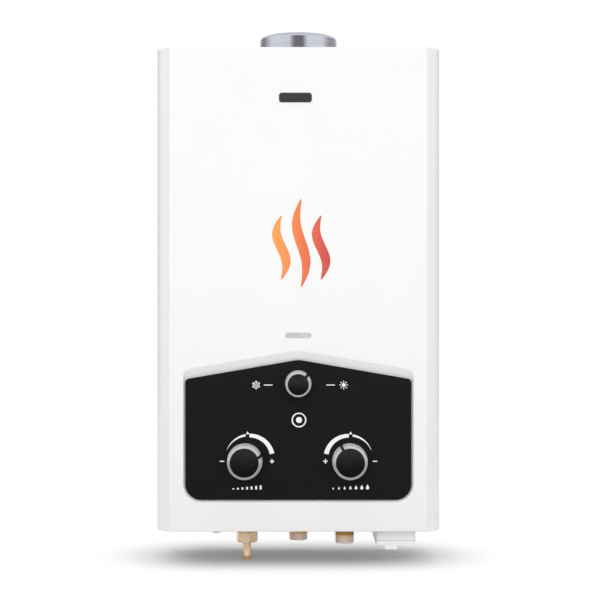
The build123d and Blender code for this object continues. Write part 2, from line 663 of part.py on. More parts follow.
# Flue
def flue_collar():
    """Round collar with a flange on the top panel and a spigot down into the hood's neck."""
    rim = CASE_TOP + COLLAR_RISE
    flange_top = PLATE_TOP + COLLAR_FLANGE_THICKNESS
    spigot_bottom = HOOD_TOP + NECK_HEIGHT - NECK_ENGAGEMENT
    collar = turned([
        (SPIGOT_RADIUS - COLLAR_WALL, spigot_bottom), (SPIGOT_RADIUS, spigot_bottom),
        (SPIGOT_RADIUS, PLATE_TOP), (COLLAR_RADIUS + COLLAR_FLANGE_WIDTH, PLATE_TOP),
        (COLLAR_RADIUS + COLLAR_FLANGE_WIDTH, flange_top), (COLLAR_RADIUS, flange_top),
        (COLLAR_RADIUS, rim), (COLLAR_RADIUS - COLLAR_WALL, rim),
        (COLLAR_RADIUS - COLLAR_WALL, flange_top), (SPIGOT_RADIUS - COLLAR_WALL, PLATE_TOP)])
    return Pos(0, FLUE_Y, 0) * collar


def flue_hood():
    """Tapered sheet hood from the exchanger up to a round neck."""
    def taper(inset, top):
        low = Rectangle(SHELL_WIDTH - 2 * inset, SHELL_DEPTH - 2 * inset)
        high = Rectangle(HOOD_TOP_WIDTH - 2 * inset, SHELL_DEPTH - 2 * HOOD_TOP_INSET - 2 * inset)
        return loft([Pos(0, FLUE_Y, HOOD_BOTTOM) * low, Pos(0, FLUE_Y, top) * high], ruled=True)

    neck_radius = SPIGOT_RADIUS + FIT
    hood = taper(0, HOOD_TOP)
    hood += rod((0, FLUE_Y, HOOD_TOP), (0, FLUE_Y, HOOD_TOP + NECK_HEIGHT), neck_radius + SHEET)
    hood -= taper(SHEET, HOOD_TOP - SHEET)
    return hood - rod((0, FLUE_Y, HOOD_TOP - SHEET), (0, FLUE_Y, HOOD_TOP + NECK_HEIGHT), neck_radius)


# Heat exchanger
def exchanger_shell():
    """Copper combustion chamber, pierced at both sides for the tube and flanged at its foot."""
    section = RectangleRounded(SHELL_WIDTH, SHELL_DEPTH, SHELL_RADIUS)
    section -= RectangleRounded(SHELL_WIDTH - 2 * SHEET, SHELL_DEPTH - 2 * SHEET, SHELL_RADIUS - SHEET)
    shell = Pos(0, FLUE_Y, SHELL_BOTTOM) * extrude(section, HOOD_BOTTOM - SHELL_BOTTOM)
    reach = SHELL_DEPTH / 2 - SHELL_RADIUS
    for side in (-1, 1):
        shell += block(side * (SHELL_HALF - SHEET), side * (SHELL_HALF + SHELL_FLANGE),
                       FLUE_Y - reach, FLUE_Y + reach, SHELL_BOTTOM, SHELL_BOTTOM + SHEET)
    for y in TUBE_ROWS:
        shell -= rod((-SHELL_HALF, y, TUBE_Z), (SHELL_HALF, y, TUBE_Z), TUBE_RADIUS + HOLE_GAP)
    return shell


def exchanger_fins():
    """Row of thin fins on the tube, inside the top of the shell."""
    outline = Rectangle(SHELL_DEPTH - 2 * SHEET - 2 * FIT, FIN_HEIGHT)
    for row in (-1, 0, 1):
        outline -= Pos(row * TUBE_PITCH, 0) * Circle(TUBE_RADIUS + HOLE_GAP)
    half_run = SHELL_HALF - FIN_END_GAP
    pitch = 2 * half_run / (FIN_COUNT - 1)
    starts = [-half_run + pitch * number - FIN_THICKNESS / 2 for number in range(FIN_COUNT)]
    fins = [Plane((x, FLUE_Y, TUBE_Z), x_dir=(0, 1, 0), z_dir=(1, 0, 0)) * extrude(outline, FIN_THICKNESS)
            for x in starts]
    return Compound(fins)


def exchanger_coil():
    """One tube through the fins three times, with return bends outside the shell."""
    end = SHELL_HALF + TUBE_STUB
    bend = SHELL_HALF + BEND_ROOM + TUBE_PITCH / 2
    front, middle, rear = TUBE_ROWS
    points = [(end, front, TUBE_Z), (-bend, front, TUBE_Z), (-bend, middle, TUBE_Z),
              (bend, middle, TUBE_Z), (bend, rear, TUBE_Z), (-end, rear, TUBE_Z)]
    return pipe(points, TUBE_RADIUS, TUBE_WALL, TUBE_PITCH / 2 - BEND_STRAIGHT)


def cold_pipe():
    """Pipe from the water valve up the right side to the front tube."""
    front = TUBE_ROWS[0]
    points = [(WATER_OUTLET_END - SOCKET_DEPTH, VALVE_Y, VALVE_Z), (RISER_X, VALVE_Y, VALVE_Z),
              (RISER_X, front, TUBE_Z), (SHELL_HALF + TUBE_STUB, front, TUBE_Z)]
    return pipe(points, TUBE_RADIUS, TUBE_WALL, RISER_BEND)


def hot_pipe():
    """Pipe from the rear tube down the left side to the hot outlet."""
    rear = TUBE_ROWS[2]
    run = CASE_BOTTOM + HOT_RUN_HEIGHT
    points = [(-SHELL_HALF - TUBE_STUB, rear, TUBE_Z), (-RISER_X, rear, TUBE_Z), (-RISER_X, rear, run),
              (0, HOT_Y, run), (0, HOT_Y, FITTING_TOP + FITTING_SPIGOT - SOCKET_DEPTH)]
    return pipe(points, TUBE_RADIUS, TUBE_WALL, RISER_BEND)


def exchanger_brackets():
    """Two folded brackets that carry the exchanger on the back plate."""
    brackets = []
    half = BRACKET_WIDTH / 2
    for z in (SHELL_BOTTOM + BRACKET_RISE_LOW, HOOD_BOTTOM - BRACKET_DROP_HIGH):
        bracket = block(-half, half, SHELL_BACK, BACK_INNER, z, z + SHEET)
        bracket += block(-half, half, SHELL_BACK, SHELL_BACK + SHEET, z, z + BRACKET_HEIGHT)
        bracket += block(-half, half, BACK_INNER - SHEET, BACK_INNER, z, z + BRACKET_HEIGHT)
        brackets.append(bracket)
    return Compound(brackets)


def overheat_cutout():
    """Round thermal switch on the front of the shell."""
    z = HOOD_BOTTOM - CUTOUT_DROP
    plate_end = SHELL_FRONT - SHEET
    cutout = rod((CUTOUT_X, SHELL_FRONT, z), (CUTOUT_X, plate_end, z), CUTOUT_PLATE_RADIUS)
    return cutout + rod((CUTOUT_X, plate_end, z), (CUTOUT_X, plate_end - CUTOUT_HEIGHT, z), CUTOUT_RADIUS)


# Burner
def bar_places():
    """Places of the burner bars across the burner."""
    count = whole(SHELL_WIDTH - 2 * BAR_SIDE_ROOM, BAR_PITCH)
    return [(number - (count - 1) / 2) * BAR_PITCH for number in range(count)]


def burner_bars():
    """Burner bars: round venturi below, thin waist, slotted flame head above."""
    outline = Circle(VENTURI_RADIUS)
    outline += Pos(0, VENTURI_DROP / 2) * Rectangle(BAR_WAIST, VENTURI_DROP - BAR_HEAD_HEIGHT / 2)
    head_middle = VENTURI_DROP - BAR_HEAD_HEIGHT / 2
    outline += Pos(0, head_middle) * RectangleRounded(BAR_HEAD_WIDTH, BAR_HEAD_HEIGHT, BAR_HEAD_RADIUS)
    length = BAR_BACK - BAR_FRONT
    bar = facing_front(0, BAR_BACK, VENTURI_Z) * extrude(outline, length)
    bar -= rod((0, BAR_FRONT, VENTURI_Z), (0, BAR_FRONT + VENTURI_BORE_DEPTH, VENTURI_Z), VENTURI_BORE)
    pitch = length / PORT_COUNT
    for number in range(PORT_COUNT):
        y = BAR_FRONT + (number + 0.5) * pitch
        bar -= block(-BAR_HEAD_WIDTH / 2, BAR_HEAD_WIDTH / 2, y - PORT_WIDTH / 2, y + PORT_WIDTH / 2,
                     BURNER_TOP - PORT_DEPTH, BURNER_TOP)
    return Compound([Pos(x, 0, 0) * bar for x in bar_places()])


def electrode_places():
    """Places of the ignition electrode and the flame probe across the burner."""
    x = bar_places()[ELECTRODE_BARS - 1] + BAR_PITCH / 2
    return [x, -x]


def comb_plate(y, with_tabs):
    """Cross plate with a keyhole for each bar and, at the front, tabs for the electrodes."""
    half = SHELL_HALF - SHEET
    top = BAR_HEAD_BOTTOM - FIT
    height = top - FRAME_BOTTOM
    outline = Pos(0, FRAME_BOTTOM + height / 2) * Rectangle(2 * half, height)
    for x in bar_places():
        outline -= Pos(x, VENTURI_Z) * Circle(VENTURI_RADIUS + FIT)
        outline -= Pos(x, (VENTURI_Z + top) / 2) * Rectangle(BAR_WAIST + 2 * FIT, top - VENTURI_Z)
    if with_tabs:
        tab_top = ELECTRODE_Z + ELECTRODE_TAB / 2
        for x in electrode_places():
            root = top - ELECTRODE_TAB / 4
            outline += Pos(x, (tab_top + root) / 2) * Rectangle(ELECTRODE_TAB, tab_top - root)
            outline -= Pos(x, ELECTRODE_Z) * Circle(INSULATOR_RADIUS + PIVOT_GAP)
    return facing_front(0, y + SHEET, 0) * extrude(outline, SHEET)


def burner_frame():
    """Folded frame: end plates under the shell, two comb plates and lugs on the back plate."""
    frame = comb_plate(COMB_FRONT, True) + comb_plate(BAR_BACK - COMB_INSET, False)
    reach = SHELL_DEPTH / 2 - SHELL_RADIUS
    for side in (-1, 1):
        outer = side * SHELL_HALF
        inner = side * (SHELL_HALF - SHEET)
        lug_top = FRAME_BOTTOM + FRAME_LUG_HEIGHT
        frame += block(inner, outer, MANIFOLD_FRONT, SHELL_BACK, FRAME_BOTTOM, SHELL_BOTTOM)
        frame += block(inner, side * (SHELL_HALF + SHELL_FLANGE), FLUE_Y - reach, FLUE_Y + reach,
                       SHELL_BOTTOM - SHEET, SHELL_BOTTOM)
        frame += block(inner, outer, SHELL_BACK, BACK_INNER, FRAME_BOTTOM, lug_top)
        frame += block(side * (SHELL_HALF - FRAME_LUG_WIDTH), outer, BACK_INNER - SHEET, BACK_INNER,
                       FRAME_BOTTOM, lug_top)
    return frame


def injector_manifold():
    """Gas rail across the front of the burner, between the frame's end plates."""
    half = SHELL_HALF - SHEET
    rail = block(-half, half, MANIFOLD_FRONT, MANIFOLD_BACK, MANIFOLD_BOTTOM, MANIFOLD_BOTTOM + MANIFOLD_HEIGHT)
    return fillet(rail.edges().filter_by(Axis.X), MANIFOLD_RADIUS)


def injector_jets():
    """Brass jets on the rail, one in front of each venturi."""
    shoulder = MANIFOLD_BACK + JET_LENGTH / 2
    tip = MANIFOLD_BACK + JET_LENGTH
    jets = [rod((x, MANIFOLD_BACK, VENTURI_Z), (x, shoulder, VENTURI_Z), JET_RADIUS)
            + cone((x, shoulder, VENTURI_Z), (x, tip, VENTURI_Z), JET_RADIUS, JET_TIP_RADIUS)
            for x in bar_places()]
    return Compound(jets)


def electrode_insulators():
    """Ceramic sleeves of the electrodes, shouldered against the frame's tabs."""
    sleeves = []
    for x in electrode_places():
        start = (x, COMB_FRONT - INSULATOR_FRONT, ELECTRODE_Z)
        end = (x, COMB_FRONT + SHEET + INSULATOR_REAR, ELECTRODE_Z)
        sleeve = rod(start, end, INSULATOR_RADIUS)
        sleeve += rod((x, COMB_FRONT - INSULATOR_SHOULDER_LENGTH, ELECTRODE_Z), (x, COMB_FRONT, ELECTRODE_Z),
                      INSULATOR_SHOULDER)
        sleeves.append(sleeve - rod(start, end, ELECTRODE_RADIUS))
    return Compound(sleeves)


def electrode_rods():
    """Wires of the electrodes, through the sleeves and over the burner."""
    front = COMB_FRONT - INSULATOR_FRONT - INSULATOR_RADIUS
    rear = COMB_FRONT + SHEET + INSULATOR_REAR + ELECTRODE_LENGTH
    return Compound([rod((x, front, ELECTRODE_Z), (x, rear, ELECTRODE_Z), ELECTRODE_RADIUS)
                     for x in electrode_places()])


# Linked gas and water valves
def on_axis(x):
    """Point on the linkage's axis."""
    return (x, VALVE_Y, VALVE_Z)


def gas_valve_body():
    """Die-cast gas valve: block with spindle boss, inlet barrel, outlet boss and chamber for the disc."""
    body = block(GAS_BODY_LEFT, GAS_BODY_RIGHT, VALVE_Y - GAS_BODY_HALF, VALVE_Y + GAS_BODY_HALF,
                 VALVE_Z - GAS_BODY_HALF, VALVE_Z + GAS_BODY_HALF)
    body = fillet(body.edges().filter_by(Axis.X), GAS_BODY_RADIUS)
    body += rod((GAS_X, VALVE_Y, VALVE_Z), (GAS_X, BOSS_FRONT, VALVE_Z), BOSS_RADIUS)
    body += rod((GAS_X, VALVE_Y, VALVE_Z), (GAS_X, VALVE_Y, FITTING_TOP), BARREL_RADIUS)
    body += rod((GAS_X, VALVE_Y, VALVE_Z), (GAS_X, VALVE_Y, GAS_TOP), TOP_BOSS_RADIUS)
    body += rod(on_axis(GAS_X), on_axis(GAS_NECK_END), GAS_NECK_RADIUS)
    body -= rod(on_axis(CHAMBER_RIGHT - GAS_CHAMBER_LENGTH), on_axis(CHAMBER_RIGHT), GAS_CHAMBER_RADIUS)
    body -= rod(on_axis(CHAMBER_RIGHT), on_axis(GAS_NECK_END), ROD_RADIUS + ROD_GAP)
    body -= rod((GAS_X, BOSS_FRONT, VALVE_Z), (GAS_X, BOSS_FRONT + SPINDLE_SEAT, VALVE_Z),
                SPINDLE_RADIUS + PIVOT_GAP)
    body -= rod((GAS_X, VALVE_Y, GAS_TOP), (GAS_X, VALVE_Y, GAS_TOP - SOCKET_DEPTH), GAS_PIPE_RADIUS + HOLE_GAP)
    socket_top = FITTING_TOP + FITTING_SPIGOT
    return body - rod((GAS_X, VALVE_Y, FITTING_TOP), (GAS_X, VALVE_Y, socket_top), GAS_STUB_RADIUS + HOLE_GAP)


def solenoid_valve():
    """Safety valve: flanged coil on the left end of the gas valve."""
    flange_end = GAS_BODY_LEFT - SOLENOID_FLANGE
    coil_end = flange_end - SOLENOID_LENGTH
    valve = rod(on_axis(GAS_BODY_LEFT), on_axis(flange_end), SOLENOID_FLANGE_RADIUS)
    valve += rod(on_axis(flange_end), on_axis(coil_end), SOLENOID_RADIUS)
    return valve + rod(on_axis(coil_end), on_axis(coil_end - SOLENOID_CAP), SOLENOID_CAP_RADIUS)


def valve_screw_places():
    """Places of the diaphragm cover's screws round the linkage's axis."""
    angles = [2 * pi * (number + 0.5) / VALVE_SCREW_COUNT for number in range(VALVE_SCREW_COUNT)]
    return [(VALVE_Y + VALVE_SCREW_CIRCLE * cos(a), VALVE_Z + VALVE_SCREW_CIRCLE * sin(a)) for a in angles]


def without_screw_holes(shape, left, right):
    """Shape with the diaphragm cover's screw holes cut between two planes."""
    for y, z in valve_screw_places():
        shape -= rod((left, y, z), (right, y, z), SCREW_RADIUS + HOLE_GAP)
    return shape


def water_valve_body():
    """Brass water valve: diaphragm flange, barrel, cold inlet below, outlet at the right, spindle boss."""
    flange_end = WATER_BODY_START + DISC_THICKNESS
    body = rod(on_axis(WATER_BODY_START), on_axis(flange_end), DISC_RADIUS)
    body += rod(on_axis(flange_end), on_axis(WATER_BODY_END), WATER_BODY_RADIUS)
    body += rod(on_axis(WATER_BODY_END), on_axis(WATER_OUTLET_END), WATER_OUTLET_RADIUS)
    body += rod((COLD_X, VALVE_Y, VALVE_Z), (COLD_X, VALVE_Y, FITTING_TOP), COLD_BARREL_RADIUS)
    body += rod((WATER_KNOB_X, VALVE_Y, VALVE_Z), (WATER_KNOB_X, BOSS_FRONT, VALVE_Z), BOSS_RADIUS)
    body -= rod(on_axis(WATER_BODY_START), on_axis(WATER_BODY_START + WATER_CHAMBER_DEPTH), DISC_CHAMBER_RADIUS)
    body -= rod((WATER_KNOB_X, BOSS_FRONT, VALVE_Z), (WATER_KNOB_X, BOSS_FRONT + SPINDLE_SEAT, VALVE_Z),
                SPINDLE_RADIUS + PIVOT_GAP)
    body -= rod(on_axis(WATER_OUTLET_END - SOCKET_DEPTH), on_axis(WATER_OUTLET_END), TUBE_RADIUS + HOLE_GAP)
    socket_top = FITTING_TOP + FITTING_SPIGOT
    body -= rod((COLD_X, VALVE_Y, FITTING_TOP), (COLD_X, VALVE_Y, socket_top), FITTING_SPIGOT_RADIUS + HOLE_GAP)
    return without_screw_holes(body, WATER_BODY_START, flange_end)


def diaphragm_cover():
    """Left half of the diaphragm chamber, with the neck that guides the push rod."""
    neck_end = COVER_DISC_LEFT - COVER_NECK_LENGTH
    cover = rod(on_axis(COVER_DISC_LEFT), on_axis(DIAPHRAGM_LEFT), DISC_RADIUS)
    cover += rod(on_axis(neck_end), on_axis(COVER_DISC_LEFT), COVER_NECK_RADIUS)
    cover -= rod(on_axis(DIAPHRAGM_LEFT - COVER_CHAMBER_DEPTH), on_axis(DIAPHRAGM_LEFT), DISC_CHAMBER_RADIUS)
    cover -= rod(on_axis(neck_end), on_axis(DIAPHRAGM_LEFT), ROD_RADIUS + ROD_GAP)
    return without_screw_holes(cover, COVER_DISC_LEFT, DIAPHRAGM_LEFT)


def diaphragm():
    """Rubber disc clamped between the water body and its cover."""
    disc = rod(on_axis(DIAPHRAGM_LEFT), on_axis(WATER_BODY_START), DISC_RADIUS)
    return without_screw_holes(disc, DIAPHRAGM_LEFT, WATER_BODY_START)


def diaphragm_plate():
    """Steel plate on the diaphragm, at the end of the push rod."""
    return rod(on_axis(PLATE_LEFT), on_axis(DIAPHRAGM_LEFT), PLATE_RADIUS)


def push_rod():
    """Rod from the diaphragm plate to the gas valve disc, with the collar that works the switch."""
    push = rod(on_axis(CHAMBER_RIGHT - VALVE_DISC_THICKNESS), on_axis(PLATE_LEFT), ROD_RADIUS)
    return push + rod(on_axis(COLLAR_LEFT), on_axis(COLLAR_LEFT + ROD_COLLAR_THICKNESS), ROD_COLLAR_RADIUS)


def gas_valve_disc():
    """Rubber disc that closes the gas chamber, on the end of the push rod."""
    right = CHAMBER_RIGHT - FIT
    disc = rod(on_axis(right - VALVE_DISC_THICKNESS), on_axis(right), VALVE_DISC_RADIUS)
    return disc - rod(on_axis(CHAMBER_RIGHT - VALVE_DISC_THICKNESS), on_axis(CHAMBER_RIGHT), ROD_RADIUS + ROD_GAP)


def return_spring():
    """Coil spring round the push rod, from the gas neck to the rod's collar."""
    run = SPRING_ROOM - 2 * SPRING_WIRE - 2 * HOLE_GAP
    turn_pitch = run / SPRING_TURNS
    least_gap = turn_pitch - 2 * SPRING_WIRE
    print(f"return spring: least gap between turns {least_gap:.2f} mm")
    path = Helix(turn_pitch, run, SPRING_RADIUS)
    wire = sweep(Plane(path @ 0, z_dir=path % 0) * Circle(SPRING_WIRE), path)
    start = GAS_NECK_END + SPRING_WIRE + HOLE_GAP
    return Plane(on_axis(start), x_dir=(0, 1, 0), z_dir=(1, 0, 0)) * wire


def valve_screws():
    """Screws that clamp the diaphragm cover to the water body."""
    length = COVER_DISC_THICKNESS + DIAPHRAGM_THICKNESS + DISC_THICKNESS / 2
    return Compound([screw((COVER_DISC_LEFT - SCREW_HEAD_HEIGHT, y, z), (1, 0, 0), length)
                     for y, z in valve_screw_places()])


def linkage_strap():
    """Steel strap from the gas body to the diaphragm cover, slotted for the switch lever."""
    half = STRAP_WIDTH / 2
    strap = block(GAS_BODY_RIGHT, COVER_DISC_LEFT, VALVE_Y - half, VALVE_Y + half, STRAP_BOTTOM, STRAP_TOP)
    slot_half = SWITCH_WIDTH / 2
    return strap - block(LEVER_X - LEVER_SWING_ROOM, LEVER_RIGHT + FIT, VALVE_Y - slot_half, VALVE_Y + slot_half,
                         STRAP_BOTTOM, STRAP_TOP)


def microswitch():
    """Switch on the strap with two ears that carry the lever's pins."""
    half = SWITCH_WIDTH / 2
    body = block(SWITCH_LEFT, SWITCH_LEFT + SWITCH_LENGTH, VALVE_Y - half, VALVE_Y + half,
                 STRAP_TOP, STRAP_TOP + SWITCH_HEIGHT)
    ear_reach = LEVER_BARREL + LEVER_EAR
    for side in (-1, 1):
        body += block(LEVER_X - ear_reach, SWITCH_LEFT, VALVE_Y + side * half, VALVE_Y + side * (half - LEVER_EAR),
                      LEVER_PIVOT_Z - ear_reach, LEVER_PIVOT_Z + ear_reach)
    pivot = [(LEVER_X, VALVE_Y + side * half, LEVER_PIVOT_Z) for side in (-1, 1)]
    return body - rod(*pivot, LEVER_PIN + PIVOT_GAP)


def microswitch_lever():
    """Lever that hangs from the switch, with its tip beside the rod's collar and its heel at the switch."""
    half = SWITCH_WIDTH / 2 - LEVER_EAR - FIT
    barrel = [(LEVER_X, VALVE_Y + side * half, LEVER_PIVOT_Z) for side in (-1, 1)]
    pins = [(LEVER_X, VALVE_Y + side * SWITCH_WIDTH / 2, LEVER_PIVOT_Z) for side in (-1, 1)]
    lever = rod(*barrel, LEVER_BARREL) + rod(*pins, LEVER_PIN)
    lever += block(LEVER_RIGHT - LEVER_HEEL_THICKNESS, LEVER_RIGHT, VALVE_Y - half, VALVE_Y + half,
                   LEVER_PIVOT_Z, LEVER_PIVOT_Z + LEVER_HEEL)
    return lever + block(LEVER_X - LEVER_THICKNESS / 2, LEVER_RIGHT, VALVE_Y - half, VALVE_Y + half,
                         VALVE_Z + LEVER_TIP_RISE, LEVER_PIVOT_Z)


def gas_riser():
    """Pipe from the gas valve to the season valve."""
    points = [(GAS_X, VALVE_Y, GAS_TOP - SOCKET_DEPTH), (GAS_X, VALVE_Y, GAS_TOP + GAS_PIPE_LEG),
              (0, SEASON_Y, SEASON_INLET_Z - GAS_PIPE_LEG), (0, SEASON_Y, SEASON_INLET_Z + SOCKET_DEPTH)]
    return pipe(points, GAS_PIPE_RADIUS, GAS_PIPE_WALL, GAS_PIPE_BEND)


def season_valve_body():
    """Segment valve under the gas rail, with its spindle boss at the front and inlet below."""
    half = SEASON_BODY_WIDTH / 2
    body = block(-half, half, MANIFOLD_FRONT, MANIFOLD_BACK + SEASON_BODY_REAR,
                 SEASON_Z - SEASON_BODY_DROP, MANIFOLD_BOTTOM)
    body = fillet(body.edges().filter_by(Axis.Z), MANIFOLD_RADIUS)
    body += rod((0, SEASON_Y, SEASON_Z), (0, SEASON_BOSS_FRONT, SEASON_Z), TOP_BOSS_RADIUS)
    body += rod((0, SEASON_Y, SEASON_Z), (0, SEASON_Y, SEASON_INLET_Z), TOP_BOSS_RADIUS)
    body -= rod((0, SEASON_BOSS_FRONT, SEASON_Z), (0, SEASON_BOSS_FRONT + SPINDLE_SEAT, SEASON_Z),
                SPINDLE_RADIUS + PIVOT_GAP)
    return body - rod((0, SEASON_Y, SEASON_INLET_Z), (0, SEASON_Y, SEASON_INLET_Z + SOCKET_DEPTH),
                      GAS_PIPE_RADIUS + HOLE_GAP)


def spindle_glands():
    """Hexagonal gland nuts on the three spindle bosses."""
    glands = []
    for (x, z), y in zip(knob_places(), (SEASON_BOSS_FRONT, BOSS_FRONT, BOSS_FRONT)):
        gland = hexagon((x, y, z), (x, y - GLAND_LENGTH, z), GLAND_FLATS)
        glands.append(gland - rod((x, y, z), (x, y - GLAND_LENGTH, z), SPINDLE_RADIUS + HOLE_GAP))
    return Compound(glands)


# Knobs
@dataclass
class Control:
    """One control: its axis, its knob's sizes, where its pointer rests and where its spindle starts."""
    name: str
    x: float
    z: float
    radius: float
    cap_radius: float
    pointer: float
    boss_front: float

    def plane(self, y):
        """Plane across the axis that faces the viewer, with its own y along the pointer."""
        lean = radians(self.pointer)
        return Plane((self.x, y, self.z), x_dir=(cos(lean), 0, -sin(lean)), z_dir=(0, -1, 0))

    def knurled(self, radius):
        """Star outline of the knurled ring."""
        points = []
        knurls = whole(2 * pi * self.radius, KNURL_PITCH)
        for number in range(2 * knurls):
            angle = pi * number / knurls
            reach = radius - KNURL_DEPTH * (number % 2)
            points.append((reach * cos(angle), reach * sin(angle)))
        return make_face(Polyline(*points, close=True))

    def pointer_block(self, width, inner):
        """Block that runs outwards along the pointer from a radius, over the ring's height."""
        outer = self.radius + POINTER_PROUD
        return block(-width / 2, width / 2, inner, outer, KNOB_FLANGE, RING_FRONT)

    def bevel(self, grow):
        """Cone of the ring's front, from its knurled skirt in to the lip beside the cap."""
        skirt = self.radius - KNOB_RING_TAPER - KNURL_DEPTH + grow
        return Pos(0, 0, BEVEL_START) * Cone(skirt, self.cap_radius + RING_LIP + grow, RING_BEVEL_HEIGHT,
                                             align=BASE_ALIGN)

    def knob(self):
        """Black moulding: flange, domed cap, pointer rib and a flatted bore."""
        top = KNOB_HEIGHT - KNOB_DOME
        flange = self.radius - KNOB_FLANGE_INSET
        shoulder = self.cap_radius - KNOB_EDGE_RADIUS
        side = Polyline((0, 0), (flange, 0), (flange, KNOB_FLANGE), (self.cap_radius, KNOB_FLANGE),
                        (self.cap_radius, top - KNOB_EDGE_RADIUS))
        edge = CenterArc((shoulder, top - KNOB_EDGE_RADIUS), KNOB_EDGE_RADIUS, 0, 90)
        dome_radius = (shoulder ** 2 + KNOB_DOME ** 2) / (2 * KNOB_DOME)
        lean = degrees(asin(shoulder / dome_radius))
        dome = CenterArc((0, KNOB_HEIGHT - dome_radius), dome_radius, 90 - lean, lean)
        axis = Line((0, KNOB_HEIGHT), (0, 0))
        body = revolve(Plane.XZ * make_face(Curve() + [side, edge, dome, axis]), Axis.Z)
        rib_limit = Pos(0, 0, KNOB_FLANGE) * Cone(
            self.radius + POINTER_PROUD, self.radius - KNOB_RING_TAPER + POINTER_PROUD, KNOB_RING_HEIGHT,
            align=BASE_ALIGN)
        rib_limit += self.bevel(KNURL_DEPTH + POINTER_PROUD)
        body += self.pointer_block(POINTER_WIDTH, self.cap_radius - KNOB_EDGE_RADIUS) & rib_limit
        bore = Cylinder(SPINDLE_RADIUS + PIVOT_GAP, SPINDLE_GRIP, align=BASE_ALIGN)
        far = 2 * SPINDLE_RADIUS
        bore -= block(-far, far, SPINDLE_FLAT + PIVOT_GAP, far, 0, SPINDLE_GRIP)
        return self.plane(KNOB_REAR) * (body - bore)

    def ring(self):
        """Silver ring round the cap: knurled skirt, bevelled front, notched for the pointer."""
        low = Pos(0, 0, KNOB_FLANGE) * self.knurled(self.radius)
        high = Pos(0, 0, BEVEL_START) * self.knurled(self.radius - KNOB_RING_TAPER)
        ring = loft([low, high], ruled=True) + self.bevel(0)
        ring -= Pos(0, 0, KNOB_FLANGE) * Cylinder(self.cap_radius + PIVOT_GAP, RING_FRONT - KNOB_FLANGE,
                                                  align=BASE_ALIGN)
        return self.plane(KNOB_REAR) * (ring - self.pointer_block(POINTER_WIDTH + 2 * HOLE_GAP, 0))

    def spindle(self):
        """Valve spindle from the boss to the knob, flatted where the knob grips it."""
        rear = self.boss_front + SPINDLE_SEAT - FIT
        front = KNOB_REAR - SPINDLE_GRIP + FIT
        shaft = Cylinder(SPINDLE_RADIUS, rear - front, align=BASE_ALIGN)
        far = 2 * SPINDLE_RADIUS
        flat_start = rear - KNOB_REAR
        shaft -= block(-far, far, SPINDLE_FLAT, far, flat_start, rear - front)
        return self.plane(rear) * shaft


def controls():
    """The three controls of the panel."""
    return [
        Control("season", 0, SEASON_Z, SEASON_KNOB_RADIUS, SEASON_CAP_RADIUS, SEASON_POINTER, SEASON_BOSS_FRONT),
        Control("gas", GAS_X, VALVE_Z, LOWER_KNOB_RADIUS, LOWER_CAP_RADIUS, GAS_POINTER, BOSS_FRONT),
        Control("water", WATER_KNOB_X, VALVE_Z, LOWER_KNOB_RADIUS, LOWER_CAP_RADIUS, WATER_POINTER, BOSS_FRONT),
    ]


# Pipe fittings
def water_fitting(x, y):
    """Brass fitting: hexagon on the base plate, threaded tail below, spigot above, bored through."""
    shank = THREAD_RADIUS - SHANK_STEP
    shank_end = PLATE_BOTTOM - LOCKNUT_THICKNESS
    tail_end = CASE_BOTTOM - THREAD_DROP
    top = FITTING_TOP + FITTING_SPIGOT
    fitting = hexagon((x, y, BASE_TOP), (x, y, FITTING_TOP), FITTING_FLATS)
    fitting += rod((x, y, FITTING_TOP), (x, y, top), FITTING_SPIGOT_RADIUS)
    fitting += rod((x, y, BASE_TOP), (x, y, shank_end), shank)
    fitting += rod((x, y, shank_end), (x, y, tail_end), THREAD_RADIUS)
    return fitting, tail_end, top


def hot_outlet_fitting():
    """Hot outlet: the pipe's end sits in a socket at its top."""
    fitting, tail_end, top = water_fitting(0, HOT_Y)
    fitting -= rod((0, HOT_Y, tail_end), (0, HOT_Y, BASE_TOP), WATER_BORE)
    fitting -= rod((0, HOT_Y, BASE_TOP), (0, HOT_Y, top), TUBE_RADIUS - TUBE_WALL)
    return fitting - rod((0, HOT_Y, top - SOCKET_DEPTH), (0, HOT_Y, top), TUBE_RADIUS + HOLE_GAP)


def cold_inlet_fitting():
    """Cold inlet: its spigot plugs into the water valve, and the filter sits in its bore."""
    fitting, tail_end, top = water_fitting(COLD_X, VALVE_Y)
    return fitting - rod((COLD_X, VALVE_Y, tail_end), (COLD_X, VALVE_Y, top), WATER_BORE)


def inlet_filter():
    """Cylindrical strainer cup in the cold inlet's bore."""
    low = CASE_BOTTOM - THREAD_DROP + FIT
    high = low + FILTER_LENGTH
    cup = rod((COLD_X, VALVE_Y, low), (COLD_X, VALVE_Y, high), FILTER_RADIUS)
    return cup - rod((COLD_X, VALVE_Y, low), (COLD_X, VALVE_Y, high - FILTER_WALL), FILTER_RADIUS - FILTER_WALL)


def gas_inlet_stub():
    """Brass stub: hexagon on the base plate, spigot into the gas valve, threaded tail below."""
    tail_end = CASE_BOTTOM - GAS_STUB_DROP
    top = FITTING_TOP + FITTING_SPIGOT
    stub = hexagon((GAS_X, VALVE_Y, BASE_TOP), (GAS_X, VALVE_Y, FITTING_TOP), GAS_LOCKNUT_FLATS)
    stub += rod((GAS_X, VALVE_Y, tail_end), (GAS_X, VALVE_Y, top), GAS_STUB_RADIUS)
    return stub - rod((GAS_X, VALVE_Y, tail_end), (GAS_X, VALVE_Y, top), GAS_STUB_BORE)


